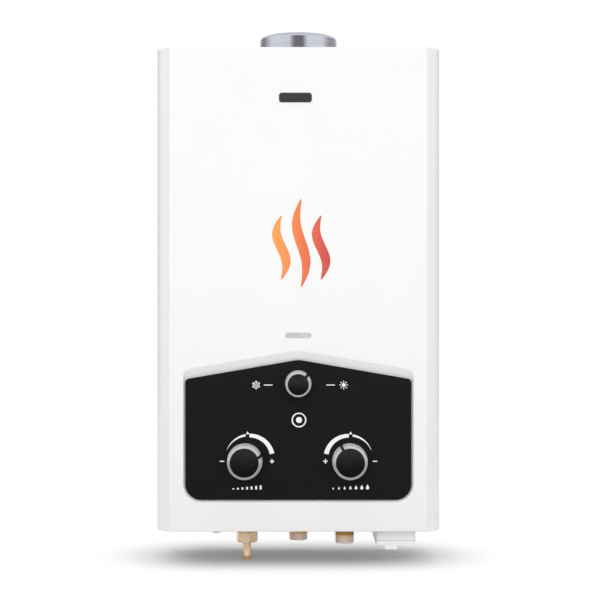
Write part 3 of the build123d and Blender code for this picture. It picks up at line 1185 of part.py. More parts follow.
def gas_union_nut():
    """Union nut on the stub's tail, holding the hose nipple's head."""
    high = CASE_BOTTOM - UNION_START
    low = CASE_BOTTOM - UNION_END
    nut = hexagon((GAS_X, VALVE_Y, high), (GAS_X, VALVE_Y, low), UNION_FLATS)
    end = UNION_FLATS / 2
    side = end + UNION_CHAMFER
    rounding = turned([(0, low), (end, low), (side, low + UNION_CHAMFER), (side, high - UNION_CHAMFER),
                       (end, high), (0, high)])
    nut &= Pos(GAS_X, VALVE_Y, 0) * rounding
    seat = CASE_BOTTOM - GAS_STUB_DROP - NIPPLE_HEAD - FIT
    nut -= rod((GAS_X, VALVE_Y, seat), (GAS_X, VALVE_Y, high), GAS_STUB_RADIUS + HOLE_GAP)
    return nut - rod((GAS_X, VALVE_Y, low), (GAS_X, VALVE_Y, seat), NIPPLE_RADIUS + FIT)


def gas_hose_nipple():
    """Hose nipple: head inside the union nut, flared stem and a barb near the tip."""
    head_top = CASE_BOTTOM - GAS_STUB_DROP
    head_bottom = head_top - NIPPLE_HEAD
    tip = CASE_BOTTOM - NIPPLE_END
    barb = tip + NIPPLE_BARB_LENGTH
    stem = CASE_BOTTOM - UNION_END - FIT
    nipple = turned([(NIPPLE_BORE, head_top), (NIPPLE_HEAD_RADIUS, head_top), (NIPPLE_HEAD_RADIUS, head_bottom),
                     (NIPPLE_RADIUS, head_bottom), (NIPPLE_RADIUS, stem), (NIPPLE_WAIST, stem - NIPPLE_HEAD),
                     (NIPPLE_BARB, barb), (NIPPLE_TIP, tip), (NIPPLE_BORE, tip)])
    return Pos(GAS_X, VALVE_Y, 0) * nipple


def fitting_locknuts():
    """Hexagonal locknuts under the base plate on the three fittings."""
    shank = THREAD_RADIUS - SHANK_STEP
    nuts = []
    for x, y, radius, flats in ((GAS_X, VALVE_Y, GAS_STUB_RADIUS, GAS_LOCKNUT_FLATS),
                                (0, HOT_Y, shank, LOCKNUT_FLATS), (COLD_X, VALVE_Y, shank, LOCKNUT_FLATS)):
        low = PLATE_BOTTOM - LOCKNUT_THICKNESS
        nut = hexagon((x, y, PLATE_BOTTOM), (x, y, low), flats)
        nuts.append(nut - rod((x, y, PLATE_BOTTOM), (x, y, low), radius + HOLE_GAP))
    return Compound(nuts)


# Battery box and igniter
def battery_box():
    """Open-bottomed box for two cells, flanged on the base plate, with hinge ears at the rear."""
    box = block(BOX_LEFT, BOX_RIGHT, BOX_FRONT, BOX_REAR, BOX_BOTTOM, BOX_TOP)
    box = fillet(box.edges().filter_by(Axis.Z), LID_RADIUS)
    box += block(BOX_LEFT - BOX_FLANGE, BOX_RIGHT + BOX_FLANGE, BOX_FRONT - BOX_FLANGE, BOX_REAR + BOX_FLANGE,
                 BASE_TOP, BASE_TOP + BOX_WALL)
    box -= block(BOX_LEFT + BOX_WALL, BOX_RIGHT - BOX_WALL, BOX_FRONT + BOX_WALL, BOX_REAR - BOX_WALL,
                 BOX_BOTTOM, BOX_INNER_TOP)
    reach = HINGE_PIN + HINGE_EAR_WALL
    for inner, outer in hinge_ears():
        ear = block(inner, outer, BOX_REAR - BOX_WALL, HINGE_Y, HINGE_Z, BOX_BOTTOM + HINGE_BARREL)
        ear -= block(inner, outer, BOX_REAR - BOX_WALL, HINGE_Y - reach, HINGE_Z, BOX_BOTTOM)
        ear += rod((inner, HINGE_Y, HINGE_Z), (outer, HINGE_Y, HINGE_Z), reach)
        box += ear - rod((inner, HINGE_Y, HINGE_Z), (outer, HINGE_Y, HINGE_Z), HINGE_PIN + PIVOT_GAP)
    return box


def hinge_ears():
    """Inner and outer faces of the two hinge ears."""
    left = BOX_LEFT + BOX_WALL + HINGE_EAR
    right = BOX_RIGHT - BOX_WALL - HINGE_EAR
    return [(left, left + HINGE_EAR), (right - HINGE_EAR, right)]


def battery_lid():
    """Hinged lid with a finger tab in front, a latch inside and trunnions in the box's ears."""
    top = BOX_BOTTOM - FIT
    lid = block(BOX_LEFT, BOX_RIGHT, BOX_FRONT, BOX_REAR, top - LID_THICKNESS, top)
    lid = fillet(lid.edges().filter_by(Axis.Z), LID_RADIUS)
    ears = hinge_ears()
    reach = HINGE_BARREL + FIT
    for inner, outer in ears:
        lid -= block(inner - FIT, outer + FIT, HINGE_Y - HINGE_PIN - HINGE_EAR_WALL - reach, BOX_REAR,
                     top - LID_THICKNESS, top)
    barrel = (ears[0][1] + FIT, ears[1][0] - FIT)
    lid += block(*barrel, BOX_REAR - BOX_WALL, HINGE_Y, HINGE_Z - HINGE_BARREL / 2, HINGE_Z + HINGE_BARREL / 2)
    lid += rod((barrel[0], HINGE_Y, HINGE_Z), (barrel[1], HINGE_Y, HINGE_Z), HINGE_BARREL)
    lid += rod((ears[0][0], HINGE_Y, HINGE_Z), (ears[1][1], HINGE_Y, HINGE_Z), HINGE_PIN)
    lid += block(TAB_X - TAB_WIDTH / 2, TAB_X + TAB_WIDTH / 2, BOX_FRONT, BOX_FRONT + TAB_DEPTH,
                 top - LID_THICKNESS - TAB_DROP, top - LID_THICKNESS)
    latch_front = BOX_FRONT + BOX_WALL + LATCH_GAP
    return lid + block(TAB_X - LATCH_WIDTH / 2, TAB_X + LATCH_WIDTH / 2, latch_front, latch_front + LATCH_DEPTH,
                       top, BOX_BOTTOM + LATCH_HEIGHT)


def battery_cells():
    """Two D cells, side by side, one turned over."""
    cell = turned([(0, 0), (CELL_DIAMETER / 2, 0), (CELL_DIAMETER / 2, CELL_LENGTH - CELL_NUB),
                   (CELL_NUB_RADIUS, CELL_LENGTH - CELL_NUB), (CELL_NUB_RADIUS, CELL_LENGTH), (0, CELL_LENGTH)])
    front_y, rear_y = CELL_ROWS
    upright = Pos(BATTERY_X, front_y, CELL_BOTTOM) * cell
    turned_over = Pos(BATTERY_X, rear_y, CELL_BOTTOM + CELL_LENGTH) * Rot(180, 0, 0) * cell
    return Compound([upright, turned_over])


def battery_contacts():
    """Sprung leaves between the roof of the box and the cells."""
    leaves = []
    cell_top = CELL_BOTTOM + CELL_LENGTH
    half = CONTACT_THICKNESS / 2
    for y in CELL_ROWS:
        root = BOX_INNER_TOP - half
        tip = cell_top + half + HOLE_GAP
        line = Polyline((y - CONTACT_LENGTH / 2, root), (y + CONTACT_LENGTH / 2, root), (y, tip),
                        (y - CONTACT_LENGTH / 4, tip))
        leaf = extrude(trace(line, CONTACT_THICKNESS), CONTACT_WIDTH)
        leaves.append(Plane((BATTERY_X - CONTACT_WIDTH / 2, 0, 0), x_dir=(0, 1, 0), z_dir=(1, 0, 0)) * leaf)
    return Compound(leaves)


def lid_contact():
    """Bridging strip on the lid that joins the two cells."""
    half = CONTACT_WIDTH / 2
    front_y, rear_y = CELL_ROWS
    return block(BATTERY_X - half, BATTERY_X + half, front_y - half, rear_y + half,
                 BOX_BOTTOM - FIT, BOX_BOTTOM - FIT + CONTACT_THICKNESS)


def igniter_box():
    """Pulse igniter on the back plate, with blade terminals on top."""
    igniter_x = IGNITER_SIDE_ROOM - CASE_WIDTH / 2
    top = FRAME_BOTTOM - IGNITER_GAP - TERMINAL_HEIGHT
    half = IGNITER_WIDTH / 2
    front = BACK_INNER - IGNITER_DEPTH
    box = block(igniter_x - half, igniter_x + half, front, BACK_INNER, top - IGNITER_HEIGHT, top)
    box = fillet(box.edges().filter_by(Axis.Y), IGNITER_RADIUS)
    middle = BACK_INNER - IGNITER_DEPTH / 2
    for number in range(TERMINAL_COUNT):
        x = igniter_x + (number - (TERMINAL_COUNT - 1) / 2) * TERMINAL_PITCH
        box += block(x - TERMINAL_WIDTH / 2, x + TERMINAL_WIDTH / 2, middle - TERMINAL_THICKNESS / 2,
                     middle + TERMINAL_THICKNESS / 2, top - IGNITER_RADIUS, top + TERMINAL_HEIGHT)
    return box


def nodes():
    """Every piece by its node's name."""
    makers = [
        front_cover, control_panel, flame_window, back_plate, top_panel, base_plate, casing_screws,
        flue_collar, flue_hood, exchanger_shell, exchanger_fins, exchanger_coil, exchanger_brackets,
        overheat_cutout, cold_pipe, hot_pipe, burner_frame, burner_bars, injector_manifold, injector_jets,
        electrode_insulators, electrode_rods, gas_valve_body, solenoid_valve, gas_riser, season_valve_body,
        water_valve_body, diaphragm_cover, diaphragm, diaphragm_plate, push_rod, gas_valve_disc, return_spring,
        valve_screws, linkage_strap, microswitch, microswitch_lever, spindle_glands, hot_outlet_fitting,
        cold_inlet_fitting, inlet_filter, gas_inlet_stub, gas_union_nut, gas_hose_nipple, fitting_locknuts,
        battery_box, battery_lid, battery_cells, battery_contacts, lid_contact, igniter_box,
    ]
    pieces = {maker.__name__: maker() for maker in makers}
    for control in controls():
        pieces[f"{control.name}_knob"] = control.knob()
        pieces[f"{control.name}_knob_ring"] = control.ring()
        pieces[f"{control.name}_spindle"] = control.spindle()
    return pieces


os.makedirs("parts", exist_ok=True)
for node_name, piece in nodes().items():
    export_step(piece, f"parts/{node_name}.step")
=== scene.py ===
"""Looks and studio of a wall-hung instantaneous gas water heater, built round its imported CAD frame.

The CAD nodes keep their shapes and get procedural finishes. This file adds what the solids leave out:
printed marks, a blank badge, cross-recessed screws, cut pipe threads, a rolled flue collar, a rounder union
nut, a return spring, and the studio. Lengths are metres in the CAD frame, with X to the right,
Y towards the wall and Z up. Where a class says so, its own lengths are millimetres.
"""
from __future__ import annotations

import json
import logging
import math
from dataclasses import dataclass, field
from enum import Enum
from typing import Iterable, Sequence, Union

import bmesh
import bpy
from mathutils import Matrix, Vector


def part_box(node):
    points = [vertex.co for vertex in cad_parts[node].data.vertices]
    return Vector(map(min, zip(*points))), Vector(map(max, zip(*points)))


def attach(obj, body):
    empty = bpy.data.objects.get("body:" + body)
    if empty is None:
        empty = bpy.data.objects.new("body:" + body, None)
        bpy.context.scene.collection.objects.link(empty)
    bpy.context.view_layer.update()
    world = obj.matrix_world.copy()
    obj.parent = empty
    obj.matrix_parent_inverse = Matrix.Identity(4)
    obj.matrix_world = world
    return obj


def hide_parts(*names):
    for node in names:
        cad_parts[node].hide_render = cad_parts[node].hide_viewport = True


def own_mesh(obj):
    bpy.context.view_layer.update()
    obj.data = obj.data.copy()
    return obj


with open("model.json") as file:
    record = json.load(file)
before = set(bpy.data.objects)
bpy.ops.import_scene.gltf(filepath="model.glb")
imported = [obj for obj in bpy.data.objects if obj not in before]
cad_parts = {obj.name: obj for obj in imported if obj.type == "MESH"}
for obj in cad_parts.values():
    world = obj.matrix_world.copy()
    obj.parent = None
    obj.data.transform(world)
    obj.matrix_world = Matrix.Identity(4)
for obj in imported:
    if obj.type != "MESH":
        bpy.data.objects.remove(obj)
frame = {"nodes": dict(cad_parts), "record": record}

LOG = logging.getLogger("water_heater")
CASING = "casing"
MM = 0.001
FRONT_Y_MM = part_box("front_cover")[0][1] / MM
FASCIA_Y_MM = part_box("control_panel")[0][1] / MM
FLOOR_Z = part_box("gas_hose_nipple")[0][2]
SMOOTH_ANGLE = math.radians(32)
WELD = 0.0005 * MM
TURN = 2 * math.pi
TURN_DEGREES = 360.0
QUARTERS = (0, 90, 180, 270)
MIDDLE_TONE = 0.5

Number = Union[int, float]
Colour = tuple[float, float, float]
Place = tuple[float, float, float]
Point2 = tuple[float, float]
Stops = tuple[tuple[float, Colour], ...]
Ring = list[Vector]
Shape = tuple[list[Vector], list[list[int]]]
TonedPoint = tuple[Place, float]


class Signal:
    """Value socket of a node tree that takes part in Python arithmetic."""

    def __init__(self, sheet: NodeSheet, socket: bpy.types.NodeSocket) -> None:
        """Wrap one output socket of a sheet."""
        self.sheet = sheet
        self.socket = socket

    def _math(self, operation: str, first: Operand, second: Operand) -> Signal:
        """Result of one Math node."""
        node = self.sheet.add("ShaderNodeMath", {"operation": operation}, {0: first, 1: second})
        return Signal(self.sheet, node.outputs[0])

    def __add__(self, other: Operand) -> Signal:
        """Sum."""
        return self._math("ADD", self, other)

    def __radd__(self, other: Number) -> Signal:
        """Sum with a number on the left."""
        return self._math("ADD", other, self)

    def __sub__(self, other: Operand) -> Signal:
        """Difference."""
        return self._math("SUBTRACT", self, other)

    def __rsub__(self, other: Number) -> Signal:
        """Difference from a number on the left."""
        return self._math("SUBTRACT", other, self)

    def __mul__(self, other: Operand) -> Signal:
        """Product."""
        return self._math("MULTIPLY", self, other)

    def __rmul__(self, other: Number) -> Signal:
        """Product with a number on the left."""
        return self._math("MULTIPLY", other, self)

    def __truediv__(self, other: Operand) -> Signal:
        """Quotient."""
        return self._math("DIVIDE", self, other)

    def __rtruediv__(self, other: Number) -> Signal:
        """Quotient of a number on the left."""
        return self._math("DIVIDE", other, self)

    def at_least(self, low: Operand) -> Signal:
        """The larger of this and a limit."""
        return self._math("MAXIMUM", self, low)

    def root(self) -> Signal:
        """Square root."""
        return self._math("SQRT", self, 0.0)


Operand = Union[Signal, Number]
SocketValue = Union[Signal, bpy.types.NodeSocket, Number, Sequence[float]]


class NodeSheet:
    """Node tree of one material or of the world."""

    def __init__(self, owner: Union[bpy.types.Material, bpy.types.World]) -> None:
        """Give a material or a world an empty node tree."""
        owner.use_nodes = True
        self.tree = owner.node_tree
        self.tree.nodes.clear()

    def add(self, kind: str, settings: dict[str, object],
            sockets: dict[Union[str, int], SocketValue]) -> bpy.types.Node:
        """Add a node.

        Args:
            kind: Blender's type name of the node.
            settings: Properties, set first; "stops" holds a ramp's positions and colours.
            sockets: Values or links of its inputs, by name or by number.

        Returns:
            The new node.
        """
        node = self.tree.nodes.new(kind)
        for name, value in settings.items():
            if name == "stops":
                self._set_stops(node.color_ramp, value)
            else:
                setattr(node, name, value)
        for key, value in sockets.items():
            source = value.socket if isinstance(value, Signal) else value
            if isinstance(source, bpy.types.NodeSocket):
                self.tree.links.new(source, node.inputs[key])
            else:
                node.inputs[key].default_value = source
        return node

    @staticmethod
    def _set_stops(ramp: bpy.types.ColorRamp, stops: Stops) -> None:
        """Give a ramp its stops.

        Args:
            ramp: Ramp of a new node.
            stops: Positions and colours, in order.
        """
        while len(ramp.elements) < len(stops):
            ramp.elements.new(1.0)
        for element, (place, colour) in zip(ramp.elements, stops):
            element.position = place
            element.color = (*colour, 1.0)

    def place(self) -> bpy.types.NodeSocket:
        """Position on the piece, in metres."""
        return self.add("ShaderNodeTexCoord", {}, {}).outputs["Object"]

    def axis(self, name: str) -> Signal:
        """One coordinate of the position: X, Y or Z."""
        node = self.add("ShaderNodeSeparateXYZ", {}, {0: self.place()})
        return Signal(self, node.outputs[name])

    def blend(self, factor: Operand, first: SocketValue, second: SocketValue) -> bpy.types.NodeSocket:
        """Mix two colours.

        Args:
            factor: Share of the second colour.
            first: Colour at 0.
            second: Colour at 1.

        Returns:
            The mixed colour.
        """
        ends = [(*end, 1.0) if isinstance(end, tuple) else end for end in (first, second)]
        # The Mix node's colours are its inputs 6 and 7 and its output 2
        node = self.add("ShaderNodeMix", {"data_type": "RGBA"}, {0: factor, 6: ends[0], 7: ends[1]})
        return node.outputs[2]

    def ramp(self, factor: Operand, stops: Stops) -> bpy.types.NodeSocket:
        """Colour from a ramp."""
        return self.add("ShaderNodeValToRGB", {"stops": stops}, {0: factor}).outputs[0]

    def rise(self, value: Signal, start: float, end: float, low: float = 0.0, high: float = 1.0,
             form: str = "LINEAR") -> Signal:
        """Value that runs between two levels while another passes a stretch.

        Args:
            value: Value that leads.
            start: Where the stretch starts.
            end: Where it ends.
            low: Level up to its start.
            high: Level from its end on.
            form: Blender's name for the form of the run.

        Returns:
            The value that follows.
        """
        node = self.add("ShaderNodeMapRange", {"interpolation_type": form}, {
            "Value": value, "From Min": start, "From Max": end, "To Min": low, "To Max": high})
        return Signal(self, node.outputs[0])


class GrainForm(Enum):
    """Kinds of small-scale variation."""

    CLOUD = "clouds of noise"
    SPANGLE = "crystal cells"


@dataclass(frozen=True)
class Grain:
    """Variation over a surface, in cycles per metre, and how far it moves tone, gloss and height."""

    cycles: tuple[float, float, float]
    tone: float = 0.0
    gloss: float = 0.0
    depth: float = 0.0
    detail: float = 2.0
    form: GrainForm = GrainForm.CLOUD

    def signal(self, sheet: NodeSheet) -> Signal:
        """Grain's value from 0 to 1.

        Args:
            sheet: Node sheet that gets its nodes.

        Returns:
            The value at each point of the surface.
        """
        stretched = sheet.add("ShaderNodeVectorMath", {"operation": "MULTIPLY"}, {
            0: sheet.place(), 1: self.cycles})
        sockets = {"Vector": stretched.outputs[0], "Scale": 1.0}
        if self.form is GrainForm.SPANGLE:
            cells = sheet.add("ShaderNodeTexVoronoi", {}, sockets)
            split = sheet.add("ShaderNodeSeparateColor", {}, {0: cells.outputs["Color"]})
            return Signal(sheet, split.outputs[0])
        noise = sheet.add("ShaderNodeTexNoise", {}, {**sockets, "Detail": self.detail})
        return Signal(sheet, noise.outputs[0])


@dataclass(frozen=True)
class Finish:
    """Surface of one material: its gloss, and the grains that vary it."""

    name: str
    roughness: float
    metallic: float = 0.0
    coat: float = 0.0
    specular: float = 0.5
    grains: tuple[Grain, ...] = ()

    def colour(self, sheet: NodeSheet, tone: Operand) -> bpy.types.NodeSocket:
        """Colour of the surface at a share of darkness, which each kind of finish gives."""
        raise NotImplementedError

    def metal(self, sheet: NodeSheet) -> Operand:
        """Metallic share of the surface, plain unless a kind of finish adds nodes for it."""
        return self.metallic

    def material(self) -> bpy.types.Material:
        """Blender material of this finish, made once.

        Returns:
            The material.
        """
        made = bpy.data.materials.get(self.name)
        if made is not None:
            return made
        made = bpy.data.materials.new(self.name)
        sheet = NodeSheet(made)
        tone: Operand = MIDDLE_TONE
        rough: Operand = self.roughness
        height: Operand = 0.0
        deepest = max([grain.depth for grain in self.grains], default=0.0)
        for grain in self.grains:
            swing = grain.signal(sheet) - MIDDLE_TONE
            if grain.tone:
                tone = swing * grain.tone + tone
            if grain.gloss:
                rough = swing * grain.gloss + rough
            if grain.depth:
                height = swing * (grain.depth / deepest) + height
        sockets = {"Base Color": self.colour(sheet, tone), "Roughness": rough, "Metallic": self.metal(sheet),
                   "Coat Weight": self.coat, "Specular IOR Level": self.specular}
        if deepest:
            bump = sheet.add("ShaderNodeBump", {}, {"Height": height, "Distance": deepest, "Strength": 1.0})
            sockets["Normal"] = bump.outputs[0]
        shader = sheet.add("ShaderNodeBsdfPrincipled", {}, sockets)
        sheet.add("ShaderNodeOutputMaterial", {}, {"Surface": shader.outputs[0]})
        return made


@dataclass(frozen=True, kw_only=True)
class ShadedFinish(Finish):
    """Finish that varies between two shades."""

    light: Colour
    dark: Colour

    def colour(self, sheet: NodeSheet, tone: Operand) -> bpy.types.NodeSocket:
        """Colour between the two shades."""
        return sheet.blend(tone, self.light, self.dark)


@dataclass(frozen=True, kw_only=True)
class RimShadedFinish(ShadedFinish):
    """Shaded finish that turns to a darker painted shade towards a level."""

    edge: Colour
    start: float
    end: float

    def colour(self, sheet: NodeSheet, tone: Operand) -> bpy.types.NodeSocket:
        """Colour between the two shades, with the painted shade of its edge."""
        share = sheet.rise(sheet.axis("Z"), self.start, self.end)
        return sheet.blend(share, super().colour(sheet, tone), self.edge)


@dataclass(frozen=True, kw_only=True)
class GradedFinish(Finish):
    """Finish whose colour runs along one axis of the piece."""

    axis: str
    start: float
    end: float
    stops: Stops
    waver: float

    def colour(self, sheet: NodeSheet, tone: Operand) -> bpy.types.NodeSocket:
        """Colour from the ramp along the axis, wavering with the grain."""
        along = (sheet.axis(self.axis) - self.start) / (self.end - self.start)
        return sheet.ramp(along + (tone - MIDDLE_TONE) * self.waver, self.stops)


@dataclass(frozen=True, kw_only=True)
class BevelledFinish(GradedFinish):
    """Graded finish that turns to polished metal beyond a place on its axis."""

    bevel: float
    bevel_end: float
    polish: float

    def metal(self, sheet: NodeSheet) -> Operand:
        """Metallic share, which rises on the bevel."""
        return sheet.rise(sheet.axis(self.axis), self.bevel, self.bevel_end, self.metallic, self.polish)


def even(cycles: float) -> tuple[float, float, float]:
    """The same number of cycles per metre along each axis."""
    return (cycles, cycles, cycles)


PEEL = Grain(even(420), gloss=0.05, depth=0.000012)
FINE = Grain(even(2600), tone=0.1, gloss=0.1, depth=0.000008)
SMEAR = Grain(even(35), tone=0.5, gloss=0.14, detail=4.0)
CLOUDY = Grain(even(9), tone=0.8, gloss=0.04)
TARNISH = Grain(even(12), tone=0.5, gloss=0.05)

WHITE_ENAMEL = ShadedFinish(
    "white enamel", 0.34, coat=0.25, grains=(CLOUDY, PEEL),
    light=(0.86, 0.86, 0.855), dark=(0.84, 0.84, 0.835))
ZINC_SHEET = ShadedFinish(
    "zinc sheet", 0.42, metallic=1.0, light=(0.62, 0.63, 0.65), dark=(0.47, 0.48, 0.51),
    grains=(Grain(even(120), tone=0.6, gloss=0.2, form=GrainForm.SPANGLE),
            Grain(even(14), tone=0.5, detail=4.0),
            Grain((900, 900, 60), tone=0.2, gloss=0.12, depth=0.000006)))
# Painted shade: edge darkens the top of the rolled rim, from start up to end.
FLUE_STEEL_WITH_PAINTED_RIM_SHADE = RimShadedFinish(
    "flue steel", 0.16, metallic=1.0, light=(0.67, 0.68, 0.75), dark=(0.50, 0.51, 0.58),
    edge=(0.34, 0.35, 0.40), start=0.2672, end=0.2702,
    grains=(Grain((14, 14, 1100), tone=1.5, gloss=0.10, depth=0.000003, detail=4.0), SMEAR))
FASCIA_BLACK = ShadedFinish(
    "fascia black", 0.44, specular=0.10, grains=(CLOUDY, FINE),
    light=(0.0096, 0.0086, 0.0070), dark=(0.0074, 0.0066, 0.0054))
KNOB_BLACK = ShadedFinish(
    "knob black", 0.26, specular=0.40, grains=(CLOUDY, FINE),
    light=(0.0068, 0.0052, 0.0038), dark=(0.0048, 0.0036, 0.0026))
# Painted shade: from 0.945 on, the ramp turns much darker than the skirt. This darkens the forward face that
# the front lamp lights most.
KNOB_SILVER_PAINTED_FRONT_SHADE = BevelledFinish(
    "knob silver", 0.30, metallic=0.12, axis="Y", start=-0.1316, end=-0.1522, waver=0.03,
    bevel=-0.1508, bevel_end=-0.1510, polish=0.45,
    stops=((0.0, (0.93, 0.92, 0.90)), (0.90, (0.97, 0.96, 0.94)),
           (0.945, (0.52, 0.51, 0.49)), (1.0, (0.62, 0.61, 0.59))),
    grains=(Grain((260, 700, 260), tone=0.6, gloss=0.03), Grain(even(35), tone=0.5, gloss=0.05)))
MICA = ShadedFinish(
    "mica pane", 0.22, coat=0.4, light=(0.62, 0.62, 0.61), dark=(0.50, 0.50, 0.49),
    grains=(Grain(even(150), tone=0.9, gloss=0.1, form=GrainForm.SPANGLE),
            Grain((300, 300, 1400), tone=0.4, depth=0.00001)))
COPPER = ShadedFinish(
    "drawn copper", 0.33, metallic=1.0, light=(0.83, 0.43, 0.28), dark=(0.46, 0.20, 0.13),
    grains=(Grain(even(55), tone=1.1, gloss=0.25, detail=5.0), Grain(even(700), gloss=0.04, depth=0.000003)))
BRASS = ShadedFinish(
    "turned brass", 0.27, metallic=0.9, light=(0.98, 0.74, 0.53), dark=(0.72, 0.48, 0.29),
    grains=(Grain(even(70), tone=0.6, gloss=0.10), TARNISH))
BRASS_NUT = ShadedFinish(
    "nut brass", 0.34, metallic=0.62, light=(1.0, 0.77, 0.54), dark=(0.90, 0.64, 0.40),
    grains=(Grain(even(70), tone=0.6, gloss=0.08), TARNISH))
# Painted shade and highlight: the ramp runs from a pale, nearly white lower end up to dark brown at the top,
# under the casing.
BRASS_THREAD_PAINTED_SHADE_AND_HIGHLIGHT = GradedFinish(
    "brass thread", 0.34, metallic=0.7, axis="Z", start=-0.2712, end=-0.2530, waver=0.2,
    stops=((0.0, (1.0, 0.90, 0.85)), (0.28, (1.0, 0.85, 0.73)), (0.44, (1.0, 0.80, 0.60)),
           (0.56, (0.72, 0.49, 0.20)), (1.0, (0.55, 0.36, 0.14))),
    grains=(Grain(even(70), tone=0.8, gloss=0.16, detail=4.0), Grain(even(2000), gloss=0.08, depth=0.000003)))
DIE_CAST = ShadedFinish(
    "die-cast metal", 0.52, metallic=1.0, light=(0.52, 0.52, 0.53), dark=(0.36, 0.36, 0.37),
    grains=(Grain(even(900), tone=0.4, gloss=0.2, depth=0.00005, detail=3.0), SMEAR))
STAINLESS = GradedFinish(
    "stainless steel", 0.34, metallic=1.0, axis="Z", start=-0.086, end=-0.050, waver=0.25,
    stops=((0.0, (0.60, 0.59, 0.57)), (0.55, (0.58, 0.56, 0.53)),
           (0.78, (0.56, 0.43, 0.27)), (1.0, (0.28, 0.25, 0.33))),
    grains=(Grain(even(45), tone=1.0, gloss=0.15, detail=4.0),
            Grain((1200, 90, 90), gloss=0.14, depth=0.000006)))
RUBBER = ShadedFinish(
    "black rubber", 0.72, grains=(FINE, SMEAR), light=(0.020, 0.020, 0.020), dark=(0.012, 0.012, 0.012))
WHITE_PLASTIC = ShadedFinish(
    "white plastic", 0.40, grains=(CLOUDY, FINE), light=(0.93, 0.93, 0.92), dark=(0.89, 0.89, 0.88))
BLACK_PLASTIC = ShadedFinish(
    "black plastic", 0.48, grains=(FINE, SMEAR), light=(0.022, 0.022, 0.023), dark=(0.014, 0.014, 0.015))
CERAMIC = ShadedFinish(
    "white ceramic", 0.20, coat=0.5, light=(0.78, 0.76, 0.71), dark=(0.66, 0.63, 0.57),
    grains=(Grain(even(600), tone=0.7, gloss=0.1, detail=5.0), PEEL))
SCREW_STEEL = ShadedFinish(
    "screw steel", 0.36, metallic=0.55, light=(0.84, 0.83, 0.81), dark=(0.68, 0.67, 0.65),
    grains=(SMEAR, Grain(even(1600), gloss=0.16, depth=0.000006)))
CELL_JACKET = GradedFinish(
    "cell jacket", 0.30, metallic=0.2, coat=0.4, axis="Z", start=-0.262, end=-0.198, waver=0.02,
    stops=((0.0, (0.55, 0.54, 0.52)), (0.03, (0.025, 0.025, 0.028)), (0.66, (0.025, 0.025, 0.028)),
           (0.69, (0.50, 0.27, 0.10)), (0.95, (0.50, 0.27, 0.10)), (0.97, (0.60, 0.59, 0.57))),
    grains=(Grain(even(200), tone=0.2, gloss=0.1), FINE))
WHITE_INK = ShadedFinish(
    "white ink", 0.5, specular=0.3, light=(0.93, 0.93, 0.92), dark=(0.88, 0.88, 0.87),
    grains=(Grain(even(900), tone=0.6, gloss=0.1, detail=3.0),))
WARM_INK = GradedFinish(
    "warm ink", 0.38, coat=0.3, axis="X", start=-0.030, end=0.034, waver=0.3,
    stops=((0.0, (0.93, 0.36, 0.035)), (0.35, (0.90, 0.22, 0.020)),
           (0.7, (0.80, 0.085, 0.014)), (1.0, (0.58, 0.030, 0.014))),
    grains=(Grain(even(60), tone=0.3, gloss=0.06), Grain(even(1500), tone=0.1, depth=0.000004)))
BADGE_GREY = ShadedFinish(
    "badge grey", 0.34, metallic=0.6, coat=0.3, light=(0.055, 0.055, 0.058), dark=(0.038, 0.038, 0.041),
    grains=(Grain((40, 1600, 1800), tone=0.8, gloss=0.14, depth=0.000006),))

SLOT_FINISHES: dict[str, Finish] = {
    "white_enamel": WHITE_ENAMEL, "zinc_sheet": ZINC_SHEET, "flue_steel": FLUE_STEEL_WITH_PAINTED_RIM_SHADE,
    "panel_black": FASCIA_BLACK, "knob_black": KNOB_BLACK, "knob_silver": KNOB_SILVER_PAINTED_FRONT_SHADE, "mica": MICA,
    "copper": COPPER, "brass": BRASS, "die_cast": DIE_CAST, "stainless": STAINLESS, "rubber_black": RUBBER,
    "white_plastic": WHITE_PLASTIC, "black_plastic": BLACK_PLASTIC, "ceramic_white": CERAMIC,
    "screw_steel": SCREW_STEEL, "cell_jacket": CELL_JACKET}


def metres(x: float, y: float, z: float) -> Vector:
    """Point given in millimetres."""
    return Vector((x * MM, y * MM, z * MM))


def spaced(steps: int, start: float, run: float) -> list[float]:
    """Evenly spaced values from a start over a run, with both ends."""
    return [start + run * number / steps for number in range(steps + 1)]


def placed(centre: Point2, turn: float, points: Sequence[Point2]) -> list[Point2]:
    """Points turned anticlockwise and moved.

    Args:
        centre: Where their origin goes.
        turn: Angle in degrees.
        points: The points before.

    Returns:
        The points after.
    """
    cosine = math.cos(math.radians(turn))
    sine = math.sin(math.radians(turn))
    return [(centre[0] + x * cosine - z * sine, centre[1] + x * sine + z * cosine) for x, z in points]


def around(centre: Point2, radius: float, angle: float) -> Point2:
    """Point at a radius and an angle, in degrees anticlockwise from the right."""
    return placed(centre, angle, [(radius, 0.0)])[0]


def rounded(centre: Point2, size: Point2, corner: float, inset: float, steps: int = 8) -> list[Point2]:
    """Rounded rectangle, anticlockwise.

    Args:
        centre: Its middle.
        size: Width and height.
        corner: Corner radius.
        inset: How far it is drawn in all round.
        steps: Steps round each corner.

    Returns:
        Its points.
    """
    outline = []
    for start, (side_x, side_z) in zip(QUARTERS, ((1, 1), (-1, 1), (-1, -1), (1, -1))):
        middle = (centre[0] + side_x * (size[0] / 2 - corner), centre[1] + side_z * (size[1] / 2 - corner))
        outline += [around(middle, corner - inset, angle) for angle in spaced(steps, start, 90)]
    return outline


